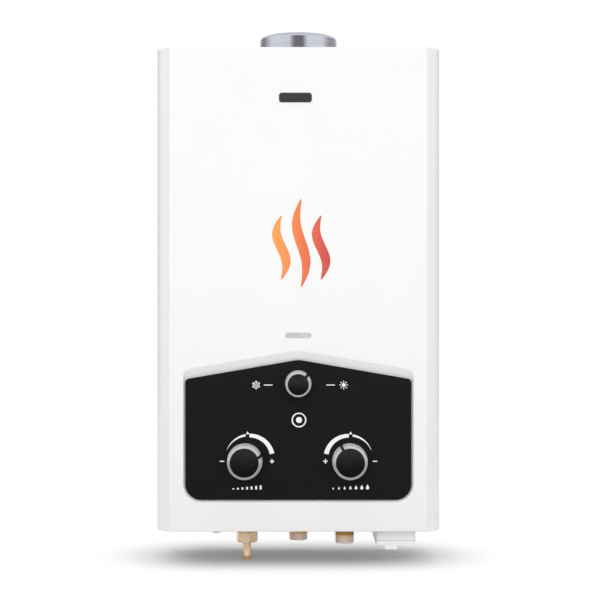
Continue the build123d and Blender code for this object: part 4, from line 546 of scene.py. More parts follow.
def skin(rings: Sequence[Ring], looped: bool) -> Shape:
    """Closed surface over rings of equal count.

    Args:
        rings: Rings in order, each running the same way round.
        looped: Whether the last ring joins the first. Otherwise both ends are filled.

    Returns:
        Points and faces.
    """
    sides = len(rings[0])
    points = [point for one in rings for point in one]
    faces = []
    for row in range(len(rings) if looped else len(rings) - 1):
        low = row * sides
        high = (row + 1) % len(rings) * sides
        for number in range(sides):
            after = (number + 1) % sides
            faces.append([low + number, low + after, high + after, high + number])
    if not looped:
        faces.append(list(reversed(range(sides))))
        faces.append([len(points) - sides + number for number in range(sides)])
    return points, faces


def merged(shapes: Iterable[Shape]) -> Shape:
    """Several shapes as one.

    Args:
        shapes: Points and faces of each.

    Returns:
        Points and faces of all.
    """
    points: list[Vector] = []
    faces: list[list[int]] = []
    for more_points, more_faces in shapes:
        first = len(points)
        points += more_points
        faces += [[first + number for number in face] for face in more_faces]
    return points, faces


class Workshop:
    """Dresses CAD nodes, and makes shapes into pieces that ride on the casing."""

    @staticmethod
    def piece(name: str, shape: Shape, finish: Finish, slot: str = "") -> bpy.types.Object:
        """Make one piece.

        Args:
            name: Name of the piece.
            shape: Its points, in metres, and its faces.
            finish: Its surface.
            slot: Material slot of the record, where one fits; not used.

        Returns:
            The new object.
        """
        mesh = bpy.data.meshes.new(name)
        mesh.from_pydata([tuple(point) for point in shape[0]], [], shape[1])
        mesh.validate()
        shell = bmesh.new()
        shell.from_mesh(mesh)
        bmesh.ops.remove_doubles(shell, verts=shell.verts, dist=WELD)
        bmesh.ops.recalc_face_normals(shell, faces=shell.faces)
        shell.to_mesh(mesh)
        shell.free()
        mesh.polygons.foreach_set("use_smooth", [True] * len(mesh.polygons))
        mesh.set_sharp_from_angle(angle=SMOOTH_ANGLE)
        mesh.materials.append(finish.material())
        made = bpy.data.objects.new(name, mesh)
        bpy.context.scene.collection.objects.link(made)
        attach(made, CASING)
        LOG.info("piece %s: %d faces on %s", name, len(mesh.polygons), CASING)
        return made

    @staticmethod
    def dress(node: str, finish: Finish) -> None:
        """Give a CAD node its finish.

        Args:
            node: Name of the node.
            finish: Its surface.
        """
        mesh = frame["nodes"][node].data
        mesh.materials.clear()
        mesh.materials.append(finish.material())
        LOG.info("node %s: %s", node, finish.name)


class PrintSheet:
    """Flat marks printed on a plane that faces the front, gathered into one mesh, in millimetres."""

    def __init__(self, face: float, thickness: float) -> None:
        """Start an empty sheet on a face at that Y."""
        self.depths = (face - thickness, face)
        self.shapes: list[Shape] = []

    def mark(self, outline: Sequence[Point2]) -> None:
        """Print one filled outline, given in order round it."""
        rings = [[metres(x, depth, z) for x, z in outline] for depth in self.depths]
        self.shapes.append(skin(rings, False))

    def strip(self, left: Sequence[Point2], right: Sequence[Point2], closed: bool = False) -> None:
        """Print a band between two lines of equal count.

        Args:
            left: Points along the band's left edge.
            right: Points along its right edge.
            closed: Whether the band's end joins its start.
        """
        front, back = self.depths
        rings = []
        for (left_x, left_z), (right_x, right_z) in zip(left, right):
            rings.append([metres(left_x, front, left_z), metres(right_x, front, right_z),
                          metres(right_x, back, right_z), metres(left_x, back, left_z)])
        self.shapes.append(skin(rings, closed))

    def bar(self, centre: Point2, length: float, width: float, turn: float = 0.0) -> None:
        """Print a bar that is turned by an angle in degrees from level."""
        corners = [(a * length / 2, b * width / 2) for a, b in ((-1, -1), (1, -1), (1, 1), (-1, 1))]
        self.mark(placed(centre, turn, corners))

    def disc(self, centre: Point2, radius: float, sides: int = 36) -> None:
        """Print a filled circle."""
        self.mark([around(centre, radius, angle) for angle in spaced(sides, 0.0, TURN_DEGREES)[:-1]])

    def hoop(self, centre: Point2, outer: float, width: float, sides: int = 60) -> None:
        """Print a whole ring of even width.

        Args:
            centre: Its middle.
            outer: Outer radius.
            width: Width inwards.
            sides: Number of steps round it.
        """
        angles = spaced(sides, 0.0, TURN_DEGREES)[:-1]
        edges = [[around(centre, radius, angle) for angle in angles] for radius in (outer - width, outer)]
        self.strip(*edges, closed=True)

    def arc(self, centre: Point2, outer: float, taper: Point2, span: Point2, steps: int = 40) -> None:
        """Print an arc whose thickness changes evenly along it.

        Args:
            centre: Middle of the circle.
            outer: Outer radius.
            taper: Thickness inwards at the start and at the end.
            span: Angles of the start and the end, in degrees anticlockwise from the right.
            steps: Number of steps along the arc.
        """
        angles = spaced(steps, span[0], span[1] - span[0])
        widths = spaced(steps, taper[0], taper[1] - taper[0])
        self.strip([around(centre, outer - width, angle) for width, angle in zip(widths, angles)],
                   [around(centre, outer, angle) for angle in angles])

    def piece(self, name: str, finish: Finish) -> bpy.types.Object:
        """The printed marks as one piece."""
        return Workshop.piece(name, merged(self.shapes), finish)


@dataclass
class Assembly:
    """Sub-assembly that dresses its CAD nodes by the record's slots and adds its own pieces."""

    nodes: tuple[str, ...] = ()

    def dress(self) -> None:
        """Give each node the finish of its slot."""
        slots = {part["node"]: part["material_slot"] for part in frame["record"]["subparts"]}
        for node in self.nodes:
            Workshop.dress(node, SLOT_FINISHES[slots[node]])

    def build(self) -> None:
        """Add the pieces that the CAD nodes leave out."""


@dataclass
class CrossScrew:
    """Pan-head screw with a cross recess, in millimetres."""

    head_radius: float = 4.0
    head_height: float = 2.2
    shank_radius: float = 1.9
    tip_radius: float = 0.3
    tip_length: float = 1.0
    crown: float = 0.7
    slot_width: float = 1.3
    slot_reach: float = 2.5
    slot_depth: float = 1.2
    slot_flank: float = 0.35
    slot_deepest: float = 1.1
    slot_rise: float = 0.35
    sides: int = 48
    rows: int = 14
    first_row: float = 0.05

    def profile(self, radius: float, angle: float) -> float:
        """Depth of the head's face below its crown.

        Args:
            radius: Distance from the axis.
            angle: Angle in radians.

        Returns:
            Depth in millimetres.
        """
        domed = self.crown * (radius / self.head_radius) ** 2
        across = min(abs(radius * math.sin(angle)), abs(radius * math.cos(angle)))
        edge = max(across - self.slot_width / 2, radius - self.slot_reach)
        share = min(max(0.5 - edge / self.slot_flank, 0.0), 1.0)
        deepness = self.slot_deepest - self.slot_rise * radius / self.slot_reach
        return domed + share * self.slot_depth * deepness

    def shape(self, face: Vector, inwards: Vector, length: float) -> Shape:
        """Points and faces of one screw.

        Args:
            face: Middle of the head's outer face, in metres.
            inwards: Direction of the shank.
            length: Shank length in millimetres.

        Returns:
            Points and faces.
        """
        across = inwards.orthogonal().normalized()
        other = inwards.cross(across)
        angles = spaced(self.sides, 0.0, TURN)[:-1]
        radii = [self.head_radius * max(row, self.first_row) / self.rows for row in range(self.rows + 1)]
        profile = [(radius, [self.profile(radius, angle) for angle in angles]) for radius in radii]
        end = self.head_height + length
        lower = ((self.head_radius, self.head_height), (self.shank_radius, self.head_height),
                 (self.shank_radius, end - self.tip_length), (self.tip_radius, end))
        profile += [(radius, [depth] * self.sides) for radius, depth in lower]
        rings = []
        for radius, depths in profile:
            one = []
            for angle, depth in zip(angles, depths):
                outwards = across * math.cos(angle) + other * math.sin(angle)
                one.append(face + (outwards * radius + inwards * depth) * MM)
            rings.append(one)
        return skin(rings, False)


@dataclass
class Casing(Assembly):
    """Pressed cover, chassis sheets, window pane and their screws, in millimetres."""

    nodes: tuple[str, ...] = ("front_cover", "back_plate", "top_panel", "base_plate", "flame_window")
    cover_screws: tuple[Point2, ...] = ((-85.0, -124.0), (85.0, -124.0))
    cover_face: float = -252.2
    cover_length: float = 6.0
    chassis_x: float = 110.0
    chassis_levels: Point2 = (-241.9, 241.9)
    chassis_face: float = -3.8
    chassis_length: float = 1.6

    def build(self) -> None:
        """Make the screws with their cross recesses."""
        screw = CrossScrew()
        upwards = Vector((0, 0, 1))
        shapes = [screw.shape(Vector((x, y, self.cover_face)) * MM, upwards, self.cover_length)
                  for x, y in self.cover_screws]
        wallwards = Vector((0, 1, 0))
        for side in (-1, 1):
            for z in self.chassis_levels:
                face = Vector((side * self.chassis_x, self.chassis_face, z)) * MM
                shapes.append(screw.shape(face, wallwards, self.chassis_length))
        made = Workshop.piece("cross_screws", merged(shapes), SCREW_STEEL, "screw_steel")
        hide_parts("casing_screws")


@dataclass
class FrontArt:
    """Generic warm strokes on the front and a blank badge above them, in millimetres."""

    thickness: float = 0.12
    # X of the middle, Z of the foot and height of each stroke
    strokes: tuple[Place, ...] = ((-17.5, 10.0, 66.0), (3.0, 2.0, 91.0), (23.5, 10.0, 66.0))
    stroke_half: float = 5.6
    stroke_blunt: float = 0.015
    stroke_fullness: float = 0.8
    sway: float = 5.0
    steps: int = 56
    badge_centre: Point2 = (-3.0, 197.7)
    badge_size: Point2 = (34.0, 10.0)
    badge_corner: float = 3.0
    badge_height: float = 0.7
    # Inset, and share of the height, from the front cover to the middle of the badge
    badge_edge: tuple[Point2, ...] = ((0.0, 0.0), (0.0, 0.6), (0.12, 0.85), (0.4, 1.0), (1.4, 1.0))

    def build(self) -> None:
        """Print the strokes and fix the badge."""
        sheet = PrintSheet(FRONT_Y_MM, self.thickness)
        for x, z, height in self.strokes:
            left = []
            right = []
            for share in spaced(self.steps, 0.0, 1.0):
                middle = x + self.sway * math.sin(TURN * share)
                inner = self.stroke_blunt + (1 - 2 * self.stroke_blunt) * share
                half = self.stroke_half * math.sin(math.pi * inner) ** self.stroke_fullness
                left.append((middle - half, z + height * share))
                right.append((middle + half, z + height * share))
            sheet.strip(left, right)
        sheet.piece("heat_strokes", WARM_INK)
        self.badge()

    def badge(self) -> None:
        """Blank plate with rounded corners and a bevelled edge."""
        rings = []
        for inset, rise in self.badge_edge:
            depth = FRONT_Y_MM - self.badge_height * rise
            outline = rounded(self.badge_centre, self.badge_size, self.badge_corner, inset)
            rings.append([metres(x, depth, z) for x, z in outline])
        Workshop.piece("blank_badge", skin(rings, False), BADGE_GREY)


@dataclass
class SeasonMarks:
    """Frost star and sun beside the season knob, each with a dash towards it, in millimetres."""

    level: float = -98.7
    cold_x: float = -43.5
    warm_x: float = 46.8
    reach: float = 4.5
    arms: int = 6
    arm_turn: float = 30.0
    arm_start: float = 0.7
    arm_line: float = 0.75
    twig_place: float = 0.52
    twig_lean: float = 52.0
    twig_out: float = 1.05
    twig_length: float = 1.3
    twig_line: float = 0.65
    sun: float = 0.44
    rays: int = 8
    ray_place: float = 0.80
    ray_length: float = 0.38
    ray_line: float = 0.85
    cold_dash: float = 12.5
    warm_dash: float = -13.5
    dash_length: float = 9.0
    dash_line: float = 0.9

    def put_on(self, sheet: PrintSheet) -> None:
        """Print the star, the sun and the dashes.

        Args:
            sheet: Sheet that gets the marks.
        """
        cold = (self.cold_x, self.level)
        warm = (self.warm_x, self.level)
        arm = self.reach - self.arm_start
        for turn in spaced(self.arms, self.arm_turn, TURN_DEGREES)[:-1]:
            sheet.bar(around(cold, (self.reach + self.arm_start) / 2, turn), arm, self.arm_line, turn)
            root = around(cold, self.reach * self.twig_place, turn)
            for lean in (turn - self.twig_lean, turn + self.twig_lean):
                sheet.bar(around(root, self.twig_out, lean), self.twig_length, self.twig_line, lean)
        sheet.disc(warm, self.reach * self.sun)
        for turn in spaced(self.rays, 0.0, TURN_DEGREES)[:-1]:
            middle = around(warm, self.reach * self.ray_place, turn)
            sheet.bar(middle, self.reach * self.ray_length, self.ray_line, turn)
        for x in (self.cold_x + self.cold_dash, self.warm_x + self.warm_dash):
            sheet.bar((x, self.level), self.dash_length, self.dash_line)


@dataclass
class Captions:
    """Rising bars under the gas knob and growing drops under the water knob, in millimetres."""

    foot: float = -206.5
    count: int = 7
    bar_start: float = -67.0
    bar_step: float = 4.7
    bar_width: float = 1.9
    bar_height: float = 1.2
    bar_growth: float = 0.5
    drop_start: float = 36.0
    drop_step: float = 5.9
    drop_radius: float = 0.75
    drop_growth: float = 0.16
    drop_tip: float = 2.1
    drop_round_start: float = 150.0
    drop_round_run: float = 240.0
    drop_steps: int = 24

    def put_on(self, sheet: PrintSheet) -> None:
        """Print the bars and the drops.

        Args:
            sheet: Sheet that gets the marks.
        """
        for number in range(self.count):
            height = self.bar_height + self.bar_growth * number
            centre = (self.bar_start + self.bar_step * number, self.foot + height / 2)
            sheet.bar(centre, self.bar_width, height)
            radius = self.drop_radius + self.drop_growth * number
            middle = (self.drop_start + self.drop_step * number, self.foot + radius)
            angles = spaced(self.drop_steps, self.drop_round_start, self.drop_round_run)
            tip = (middle[0], middle[1] + self.drop_tip * radius)
            sheet.mark([*(around(middle, radius, angle) for angle in angles), tip])


@dataclass
class Fascia(Assembly):
    """Control panel and the white marks printed on it, in millimetres."""

    nodes: tuple[str, ...] = ("control_panel",)
    thickness: float = 0.08
    scale_radius: float = 25.6
    scale_middles: tuple[Point2, Point2] = ((-49.8, -174.6), (51.5, -174.8))
    thin_span: Point2 = (100.7, 159.3)
    thin_taper: Point2 = (2.4, 0.3)
    thick_span: Point2 = (12.5, 91.5)
    thick_taper: Point2 = (4.8, 3.7)
    marker_shift: float = 2.5
    marker_rise: float = 2.6
    marker_half: float = 1.7
    marker_height: float = 3.0
    sign_level: float = -177.4
    minus_places: Point2 = (-78.7, 79.1)
    plus_places: Point2 = (-27.2, 28.0)
    sign_size: float = 4.6
    sign_line: float = 1.1
    ring_centre: Point2 = (0.7, -134.8)
    ring_radius: float = 7.6
    ring_width: float = 1.3
    dot_radius: float = 3.1

    def build(self) -> None:
        """Print all the marks."""
        sheet = PrintSheet(FASCIA_Y_MM, self.thickness)
        for side, middle in zip((1, -1), self.scale_middles):
            self.scale(sheet, middle, side)
        self.signs(sheet)
        SeasonMarks().put_on(sheet)
        sheet.hoop(self.ring_centre, self.ring_radius, self.ring_width)
        sheet.disc(self.ring_centre, self.dot_radius)
        Captions().put_on(sheet)
        sheet.piece("fascia_marks", WHITE_INK)

    def scale(self, sheet: PrintSheet, middle: Point2, side: int) -> None:
        """Tapered scale in two arcs with a marker over the gap.

        Args:
            sheet: Sheet that gets the marks.
            middle: Middle of the arcs.
            side: 1 where the thick end is at the right, -1 where it is at the left.
        """
        for taper, span in ((self.thin_taper, self.thin_span), (self.thick_taper, self.thick_span)):
            # Mirrored about the upright where the thick end is at the left
            start, end = (90 + side * (angle - 90) for angle in span)
            sheet.arc(middle, self.scale_radius, taper, (start, end))
        tip = (middle[0] - side * self.marker_shift, middle[1] + self.scale_radius + self.marker_rise)
        foot = tip[1] - self.marker_height
        sheet.mark([(tip[0] - self.marker_half, foot), (tip[0] + self.marker_half, foot), tip])

    def signs(self, sheet: PrintSheet) -> None:
        """Plus and minus at the ends of the scales.

        Args:
            sheet: Sheet that gets the marks.
        """
        for x in self.minus_places:
            sheet.bar((x, self.sign_level), self.sign_size, self.sign_line)
        half = self.sign_size / 2
        line = self.sign_line / 2
        quarter = [(half, -line), (half, line), (line, line)]
        for x in self.plus_places:
            outline = []
            for turn in QUARTERS:
                outline += placed((x, self.sign_level), turn, quarter)
            sheet.mark(outline)


@dataclass
class Controls(Assembly):
    """Three knobs with their silver rings and spindles."""

    nodes: tuple[str, ...] = tuple(f"{name}_{part}" for name in ("season", "gas", "water")
                                   for part in ("knob", "knob_ring", "spindle"))


@dataclass
class TurnedPiece:
    """Piece made of level rings round one upright axis, in place of a plain CAD node, in millimetres."""

    name: str
    node: str
    centre: Point2
    finish: Finish
    slot: str
    sides: int
    low: float = field(init=False)
    high: float = field(init=False)

    def __post_init__(self) -> None:
        """Take the levels of both ends from the node."""
        self.low, self.high = (corner[2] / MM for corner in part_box(self.node))

    def angles(self) -> list[float]:
        """Angle of each point of a ring, in radians."""
        return spaced(self.sides, 0.0, TURN)[:-1]

    def ring(self, height: float, radii: Sequence[float]) -> Ring:
        """Level ring of points, given the radius at each angle."""
        x, y = self.centre
        return [metres(x + radius * math.cos(angle), y + radius * math.sin(angle), height)
                for radius, angle in zip(radii, self.angles())]

    def circle(self, height: float, radius: float) -> Ring:
        """Round ring."""
        return self.ring(height, [radius] * self.sides)

    def hexagon(self, height: float, flats: float, turn: float = 0.0, limit: float = math.inf) -> Ring:
        """Six-sided ring, cut by a circle.

        Args:
            height: Its level.
            flats: Size across the flats.
            turn: Angle of one corner from X, in degrees.
            limit: Radius of the circle.

        Returns:
            The points, in metres.
        """
        from_flats = [(angle - math.radians(turn)) % (TURN / 6) - TURN / 12 for angle in self.angles()]
        return self.ring(height, [min(flats / 2 / math.cos(angle), limit) for angle in from_flats])

    def rings(self) -> list[Ring]:
        """Rings over the whole surface, of which the last joins the first."""
        raise NotImplementedError

    def build(self) -> None:
        """Make the piece in place of its node."""
        made = Workshop.piece(self.name, skin(self.rings(), True), self.finish, self.slot)
        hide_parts(self.node)


@dataclass
class RolledCollar(TurnedPiece):
    """Flue collar whose rim is rolled inwards, in millimetres."""

    name: str = "rolled_collar"
    node: str = "flue_collar"
    centre: Point2 = (0.0, -65.0)
    finish: Finish = FLUE_STEEL_WITH_PAINTED_RIM_SHADE
    slot: str = "flue_steel"
    sides: int = 160
    radius: float = 41.5
    wall: float = 1.0
    roll: float = 4.0
    roll_steps: int = 10
    spigot_radius: float = 38.0
    flange_radius: float = 48.5
    flange_bottom: float = 248.9
    flange_top: float = 250.1

    def rim_arc(self, inset: float) -> list[Point2]:
        """Radius and level along the rim's quarter round, at an inset from the collar's outer face."""
        middle = (self.radius - self.roll, self.high - self.roll)
        return [around(middle, self.roll - inset, angle) for angle in spaced(self.roll_steps, 0, 90)]

    def rings(self) -> list[Ring]:
        """Rings from the spigot's lower end, up the outside and down the inside.

        Returns:
            The rings.
        """
        spigot_bore = self.spigot_radius - self.wall
        profile = [
            (spigot_bore, self.low), (self.spigot_radius, self.low), (self.spigot_radius, self.flange_bottom),
            (self.flange_radius, self.flange_bottom), (self.flange_radius, self.flange_top),
            (self.radius, self.flange_top), *self.rim_arc(0.0), *reversed(self.rim_arc(self.wall)),
            (self.radius - self.wall, self.flange_top), (spigot_bore, self.flange_bottom)]
        return [self.circle(level, radius) for radius, level in profile]


@dataclass
class Flue(Assembly):
    """Collar on top and the hood below it."""

    nodes: tuple[str, ...] = ("flue_hood",)

    def build(self) -> None:
        """Make the collar."""
        RolledCollar().build()


@dataclass
class Exchanger(Assembly):
    """Finned copper heat exchanger with its pipes."""

    nodes: tuple[str, ...] = ("exchanger_shell", "exchanger_fins", "exchanger_coil", "exchanger_brackets",
                              "overheat_cutout", "cold_pipe", "hot_pipe")


@dataclass
class Burner(Assembly):
    """Burner bars, manifold, jets, electrodes and igniter."""

    nodes: tuple[str, ...] = ("burner_frame", "burner_bars", "injector_manifold", "injector_jets",
                              "electrode_insulators", "electrode_rods", "igniter_box")


@dataclass
class ReturnSpring:
    """Coil return spring, drawn at one length, which in the heater shortens as the push rod moves towards the
    gas valve, in millimetres.
    """

    axis: Point2 = (-70.0, -176.7)
    start: float = -25.45
    run: float = 7.9
    radius: float = 4.2
    wire: float = 0.45
    turns: int = 4
    travel: float = 4.0
    steps: int = 160
    sides: int = 12

    def section(self, share: float) -> Ring:
        """Ring of points round the wire.

        Args:
            share: Share of the way along the wire.

        Returns:
            The points, in metres.
        """
        turn = TURN * self.turns
        out = Vector((0.0, math.cos(turn * share), math.sin(turn * share)))
        round_axis = Vector((1.0, 0.0, 0.0)).cross(out)
        along = (round_axis * self.radius + Vector((self.run / turn, 0.0, 0.0))).normalized()
        other = along.cross(out)
        middle = Vector((self.start + self.run * share, *self.axis)) + out * self.radius
        return [(middle + (out * math.cos(angle) + other * math.sin(angle)) * self.wire) * MM
                for angle in spaced(self.sides, 0.0, TURN)[:-1]]

    def build(self) -> None:
        """Make the spring in place of its rigid node."""
        shape = skin([self.section(share) for share in spaced(self.steps, 0.0, 1.0)], False)
        made = Workshop.piece("return_coil", shape, STAINLESS, "stainless")
        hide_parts("return_spring")
        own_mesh(made)


@dataclass
class Valves(Assembly):
    """Linked gas and water valves with the season valve."""

    nodes: tuple[str, ...] = (
        "gas_valve_body", "solenoid_valve", "gas_riser", "season_valve_body", "water_valve_body",
        "diaphragm_cover", "diaphragm", "valve_screws", "linkage_strap", "microswitch", "spindle_glands",
        "push_rod", "diaphragm_plate", "gas_valve_disc", "microswitch_lever")

    def build(self) -> None:
        """Make the return spring."""
        ReturnSpring().build()


@dataclass
class ThreadedTail(TurnedPiece):
    """Brass water fitting with a cut parallel pipe thread, in millimetres."""

    finish: Finish = BRASS_THREAD_PAINTED_SHADE_AND_HIGHLIGHT
    slot: str = "brass"
    sides: int = 72
    socket_radius: float = 7.0
    throat_radius: float = 7.0
    bore: float = 7.0
    crest: float = 10.48
    cut: float = 1.16
    pitch: float = 1.814
    flat_share: float = 0.12
    lead_slope: float = 0.9
    tail_top: float = -254.9
    shank: float = 10.18
    seat: float = -248.1
    hexagon_top: float = -240.1
    chamfer: float = 0.4
    chamfer_height: float = 0.5
    socket_depth: float = 6.0
    spigot: float = 9.0
    flats: float = 27.0
    rows_per_turn: int = 10

    def thread_radius(self, angle: float, height: float) -> float:
        """Radius of the thread's surface, with a lead-in at the free end.

        Args:
            angle: Angle in radians.
            height: Level.

        Returns:
            Radius in millimetres.
        """
        phase = ((height - self.low) / self.pitch - angle / TURN) % 1.0
        flank = (abs(phase - 0.5) * 2 - self.flat_share) / (1 - 2 * self.flat_share)
        root = self.crest - self.cut
        lead = root + (height - self.low) * self.lead_slope
        return min(self.crest - self.cut * min(max(flank, 0.0), 1.0), max(lead, root))

    def rings(self) -> list[Ring]:
        """Rings from the tail's end, up the outside and down the inside.

        Returns:
            The rings.
        """
        run = self.tail_top - self.low
        rings = []
        for height in spaced(round(run / self.pitch * self.rows_per_turn), self.low, run):
            rings.append(self.ring(height, [self.thread_radius(angle, height) for angle in self.angles()]))
        rings += [self.circle(self.tail_top, self.shank), self.circle(self.seat, self.shank)]
        drawn_in = self.flats - 2 * self.chamfer
        hexagons = ((self.seat, drawn_in), (self.seat + self.chamfer_height, self.flats),
                    (self.hexagon_top - self.chamfer_height, self.flats), (self.hexagon_top, drawn_in))
        rings += [self.hexagon(height, flats) for height, flats in hexagons]
        shoulder = self.high - self.socket_depth
        rest = ((self.hexagon_top, self.spigot), (self.high, self.spigot),
                (self.high, self.socket_radius), (shoulder, self.socket_radius),
                (shoulder, self.throat_radius), (self.seat, self.throat_radius),
                (self.seat, self.bore), (self.low, self.bore))
        return rings + [self.circle(height, radius) for height, radius in rest]


@dataclass
class UnionNut(TurnedPiece):
    """Brass union nut whose six corners are rounded off towards both ends, in millimetres."""

    name: str = "rounded_union_nut"
    node: str = "gas_union_nut"
    centre: Point2 = (-55.0, -70.0)
    finish: Finish = BRASS_NUT
    slot: str = "brass"
    sides: int = 144
    flats: float = 20.5
    turn: float = -15.0
    seat: float = -267.3
    end_radius: float = 9.0
    rounding: float = 4.2
    rounding_steps: int = 10
    stub_bore: float = 8.1
    nipple_bore: float = 4.6

    def rings(self) -> list[Ring]:
        """Rings from the lower end, up the outside and down the bore.

        Returns:
            The rings.
        """
        corner = self.flats / math.sqrt(3)
        ends = []
        for angle in spaced(self.rounding_steps, 0.0, TURN / 4):
            limit = self.end_radius + (corner - self.end_radius) * math.sin(angle)
            ends.append((self.rounding * (1 - math.cos(angle)), limit))
        outside = [(self.low + rise, limit) for rise, limit in ends]
        outside += [(self.high - rise, limit) for rise, limit in reversed(ends)]
        inside = ((self.high, self.stub_bore), (self.seat, self.stub_bore),
                  (self.seat, self.nipple_bore), (self.low, self.nipple_bore))
        return [*(self.hexagon(height, self.flats, self.turn, limit) for height, limit in outside),
                *(self.circle(height, radius) for height, radius in inside)]


@dataclass
class Fittings(Assembly):
    """Pipe connections below the casing."""

    nodes: tuple[str, ...] = ("inlet_filter", "gas_inlet_stub", "gas_hose_nipple", "fitting_locknuts")
    tails: tuple[ThreadedTail, ...] = (
        ThreadedTail("hot_outlet_tail", "hot_outlet_fitting", (0.0, -49.0),
                     socket_radius=6.45, throat_radius=5.55),
        ThreadedTail("cold_inlet_tail", "cold_inlet_fitting", (49.5, -70.0)))

    def build(self) -> None:
        """Make both threaded fittings and the union nut."""
        for fitting in (*self.tails, UnionNut()):
            fitting.build()


@dataclass
class BatteryBox(Assembly):
    """Battery box with its cells, contacts and hinged lid."""

    nodes: tuple[str, ...] = (
        "battery_box", "battery_cells", "battery_contacts", "battery_lid", "lid_contact")


@dataclass(frozen=True)
class Lamp:
    """Soft square lamp, in metres and watts."""

    name: str
    place: Place
    target: Place
    size: float
    power: float
    mirrored: bool = True

    def build(self) -> None:
        """Hang the lamp and point it at its target."""
        data = bpy.data.lights.new(self.name, "AREA")
        data.size = self.size
        data.energy = self.power
        lamp = bpy.data.objects.new(self.name, data)
        lamp.location = self.place
        aim = Vector(self.target) - Vector(self.place)
        lamp.rotation_euler = aim.to_track_quat("-Z", "Y").to_euler()
        lamp.visible_glossy = self.mirrored
        bpy.context.scene.collection.objects.link(lamp)


@dataclass
class Studio:
    """Camera, floor, background, lamps and dark boards, in metres."""

    camera_place: Place = (0.00175, -1.585, -0.011)
    lens: float = 84.68
    sensor: float = 36.0
    floor_half: float = 4.0
    floor_colour: Colour = (0.76, 0.76, 0.76)
    shade_half: float = 0.085
    shade_squeeze: float = 0.80
    shade_middle: float = -0.042
    shade_core: float = 0.018
    shade_reach: float = 0.116
    ambient: float = 0.70
    background: Colour = (1.0, 1.0, 1.0)
    # Y, Z, half width and brightness along the curtain
    curtain_line: tuple[tuple[float, float, float, float], ...] = (
        (-0.16, -0.28, 1.8, 0.0), (-1.10, -0.28, 1.8, 0.01), (-2.40, -0.28, 1.8, 0.10),
        (-2.40, 0.05, 1.8, 0.70), (-2.40, 0.25, 1.4, 0.60), (-2.40, 0.42, 0.9, 0.05),
        (-2.40, 0.95, 0.9, 0.03), (-2.40, 1.30, 0.9, 0.40))
    curtain_spread: tuple[float, ...] = (-1.35, -0.55, 0.55, 1.35)
    # Angle from the front in degrees, and brightness, along each wing
    left_wing: tuple[Point2, ...] = (
        (84.0, 1.0), (100.0, 0.68), (112.0, 0.44), (122.0, 0.30), (134.0, 0.36), (152.0, 0.62))
    right_wing: tuple[Point2, ...] = (
        (76.0, 1.0), (90.0, 0.62), (98.0, 0.50), (106.0, 0.42), (116.0, 0.44), (128.0, 0.50), (150.0, 0.56))
    wing_distance: float = 2.0
    wing_top: float = 1.2
    lamps: tuple[Lamp, ...] = (
        Lamp("top lamp", (0.0, -0.25, 1.6), (0.0, -0.06, -0.3), 1.3, 7.0, mirrored=False),
        Lamp("front lamp", (0.0, -3.0, 0.4), (0.0, 0.0, 0.0), 2.0, 37.5))

    def build(self) -> None:
        """Set up the whole studio."""
        scene = bpy.context.scene
        scene.view_settings.view_transform = "Standard"
        self.camera(scene)
        self.floor()
        self.curtain()
        self.wings()
        self.world(scene)
        for lamp in self.lamps:
            lamp.build()

    def camera(self, scene: bpy.types.Scene) -> None:
        """Level camera in front of the heater.

        Args:
            scene: Scene that looks through it.
        """
        data = bpy.data.cameras.new("camera")
        data.lens = self.lens
        data.sensor_width = self.sensor
        camera = bpy.data.objects.new("camera", data)
        camera.location = self.camera_place
        camera.rotation_euler = (math.pi / 2, 0.0, 0.0)
        scene.collection.objects.link(camera)
        scene.camera = camera

    @staticmethod
    def seen(sheet: NodeSheet) -> Signal:
        """Whether a ray comes from the camera, or was mirrored or transmitted.

        Args:
            sheet: Node sheet that gets the nodes.

        Returns:
            1 for such rays, otherwise 0.
        """
        path = sheet.add("ShaderNodeLightPath", {}, {})
        camera, mirrored, transmitted = (
            Signal(sheet, path.outputs[f"Is {kind} Ray"]) for kind in ("Camera", "Glossy", "Transmission"))
        return camera.at_least(mirrored).at_least(transmitted)

    @staticmethod
    def board(name: str, corners: Sequence[Place], faces: Sequence[Sequence[int]],
              material: bpy.types.Material) -> bpy.types.Object:
        """Studio object that is no part of the heater.

        Args:
            name: Its name.
            corners: Its points.
            faces: Corner numbers of each face.
            material: Its surface.

        Returns:
            The new object.
        """
        mesh = bpy.data.meshes.new(name)
        mesh.from_pydata(corners, [], faces)
        mesh.materials.append(material)
        made = bpy.data.objects.new(name, mesh)
        bpy.context.scene.collection.objects.link(made)
        return made

    def floor(self) -> None:
        """Pale floor that keeps the shadow and is clear from below."""
        material = bpy.data.materials.new("pale floor")
        sheet = NodeSheet(material)
        matt = sheet.add("ShaderNodeBsdfDiffuse", {}, {"Color": (*self.floor_colour, 1.0)})
        side = sheet.axis("X")
        across = ((side * side).root() - self.shade_half).at_least(0.0) * self.shade_squeeze
        back = sheet.axis("Y") - self.shade_middle
        away = (across * across + back * back).root()
        fade = sheet.rise(away, self.shade_core, self.shade_reach, form="SMOOTHSTEP")
        glow = sheet.add("ShaderNodeEmission", {}, {})
        both = sheet.add("ShaderNodeMixShader", {}, {
            0: self.seen(sheet) * fade, 1: matt.outputs[0], 2: glow.outputs[0]})
        under = sheet.add("ShaderNodeNewGeometry", {}, {}).outputs["Backfacing"]
        clear = sheet.add("ShaderNodeBsdfTransparent", {}, {})
        one_sided = sheet.add("ShaderNodeMixShader", {}, {0: under, 1: both.outputs[0], 2: clear.outputs[0]})
        sheet.add("ShaderNodeOutputMaterial", {}, {"Surface": one_sided.outputs[0]})
        half = self.floor_half
        outline = ((-half, -half), (half, -half), (half, half), (-half, half))
        self.board("floor", [(x, y, FLOOR_Z) for x, y in outline], [(0, 1, 2, 3)], material)

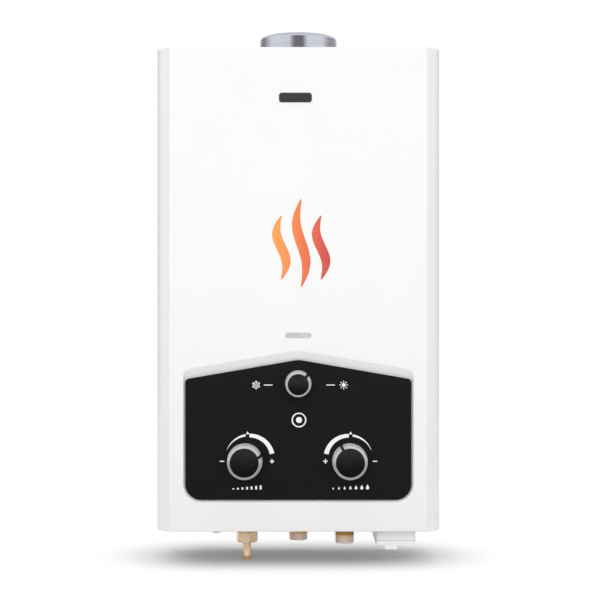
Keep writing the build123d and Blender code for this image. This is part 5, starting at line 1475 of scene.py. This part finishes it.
    def curtain(self) -> None:
        """Dark cloth that lies on the floor before the heater and rises behind the camera."""
        lines = []
        for spread in self.curtain_spread:
            outer = abs(spread) == max(self.curtain_spread)
            lines.append([((spread * half, y, z), 1.0 if outer else tone)
                          for y, z, half, tone in self.curtain_line])
        self.flag("dark_curtain", lines)

    def wings(self) -> None:
        """Two dark boards behind the heater, out at its sides."""
        for name, side, toned in (("left", -1, self.left_wing), ("right", 1, self.right_wing)):
            lines = []
            for angle, tone in toned:
                turn = math.radians(angle)
                x = side * self.wing_distance * math.sin(turn)
                y = -self.wing_distance * math.cos(turn)
                lines.append([((x, y, z), tone) for z in (FLOOR_Z, self.wing_top)])
            self.flag(f"dark_wing_{name}", lines)

    def flag(self, name: str, lines: Sequence[Sequence[TonedPoint]]) -> None:
        """Studio board that only mirrored rays meet.

        Args:
            name: Its name.
            lines: Lines of equal count side by side, each of points with their brightness.
        """
        material = bpy.data.materials.new(name)
        sheet = NodeSheet(material)
        tone = sheet.add("ShaderNodeAttribute", {"attribute_name": "brightness"}, {})
        cloth = sheet.add("ShaderNodeEmission", {}, {"Color": tone.outputs["Fac"]})
        sheet.add("ShaderNodeOutputMaterial", {}, {"Surface": cloth.outputs[0]})
        count = len(lines[0])
        starts = [line * count + number for line in range(len(lines) - 1) for number in range(count - 1)]
        faces = [(start, start + 1, start + count + 1, start + count) for start in starts]
        made = self.board(name, [corner for line in lines for corner, _tone in line], faces, material)
        brightness = made.data.attributes.new("brightness", "FLOAT", "POINT")
        brightness.data.foreach_set("value", [tone for line in lines for _corner, tone in line])
        made.visible_camera = False
        made.visible_diffuse = False
        made.visible_transmission = False
        made.visible_shadow = False

    def world(self, scene: bpy.types.Scene) -> None:
        """White background with plain ambient light.

        Args:
            scene: Scene that gets it.
        """
        world = bpy.data.worlds.new("studio")
        sheet = NodeSheet(world)
        strength = self.seen(sheet) * (1.0 - self.ambient) + self.ambient
        light = sheet.add("ShaderNodeBackground", {}, {
            "Color": (*self.background, 1.0), "Strength": strength})
        sheet.add("ShaderNodeOutputWorld", {}, {"Surface": light.outputs[0]})
        scene.world = world


def main() -> None:
    """Build the studio and every sub-assembly in order."""
    logging.basicConfig(level=logging.INFO, format="%(name)s %(message)s")
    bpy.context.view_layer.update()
    Studio().build()
    assemblies = (Casing(), Fascia(), Controls(), Flue(), Exchanger(), Burner(), Valves(), Fittings(),
                  BatteryBox())
    for assembly in assemblies:
        assembly.dress()
        assembly.build()
    FrontArt().build()


if __name__ == "__main__":
    main()
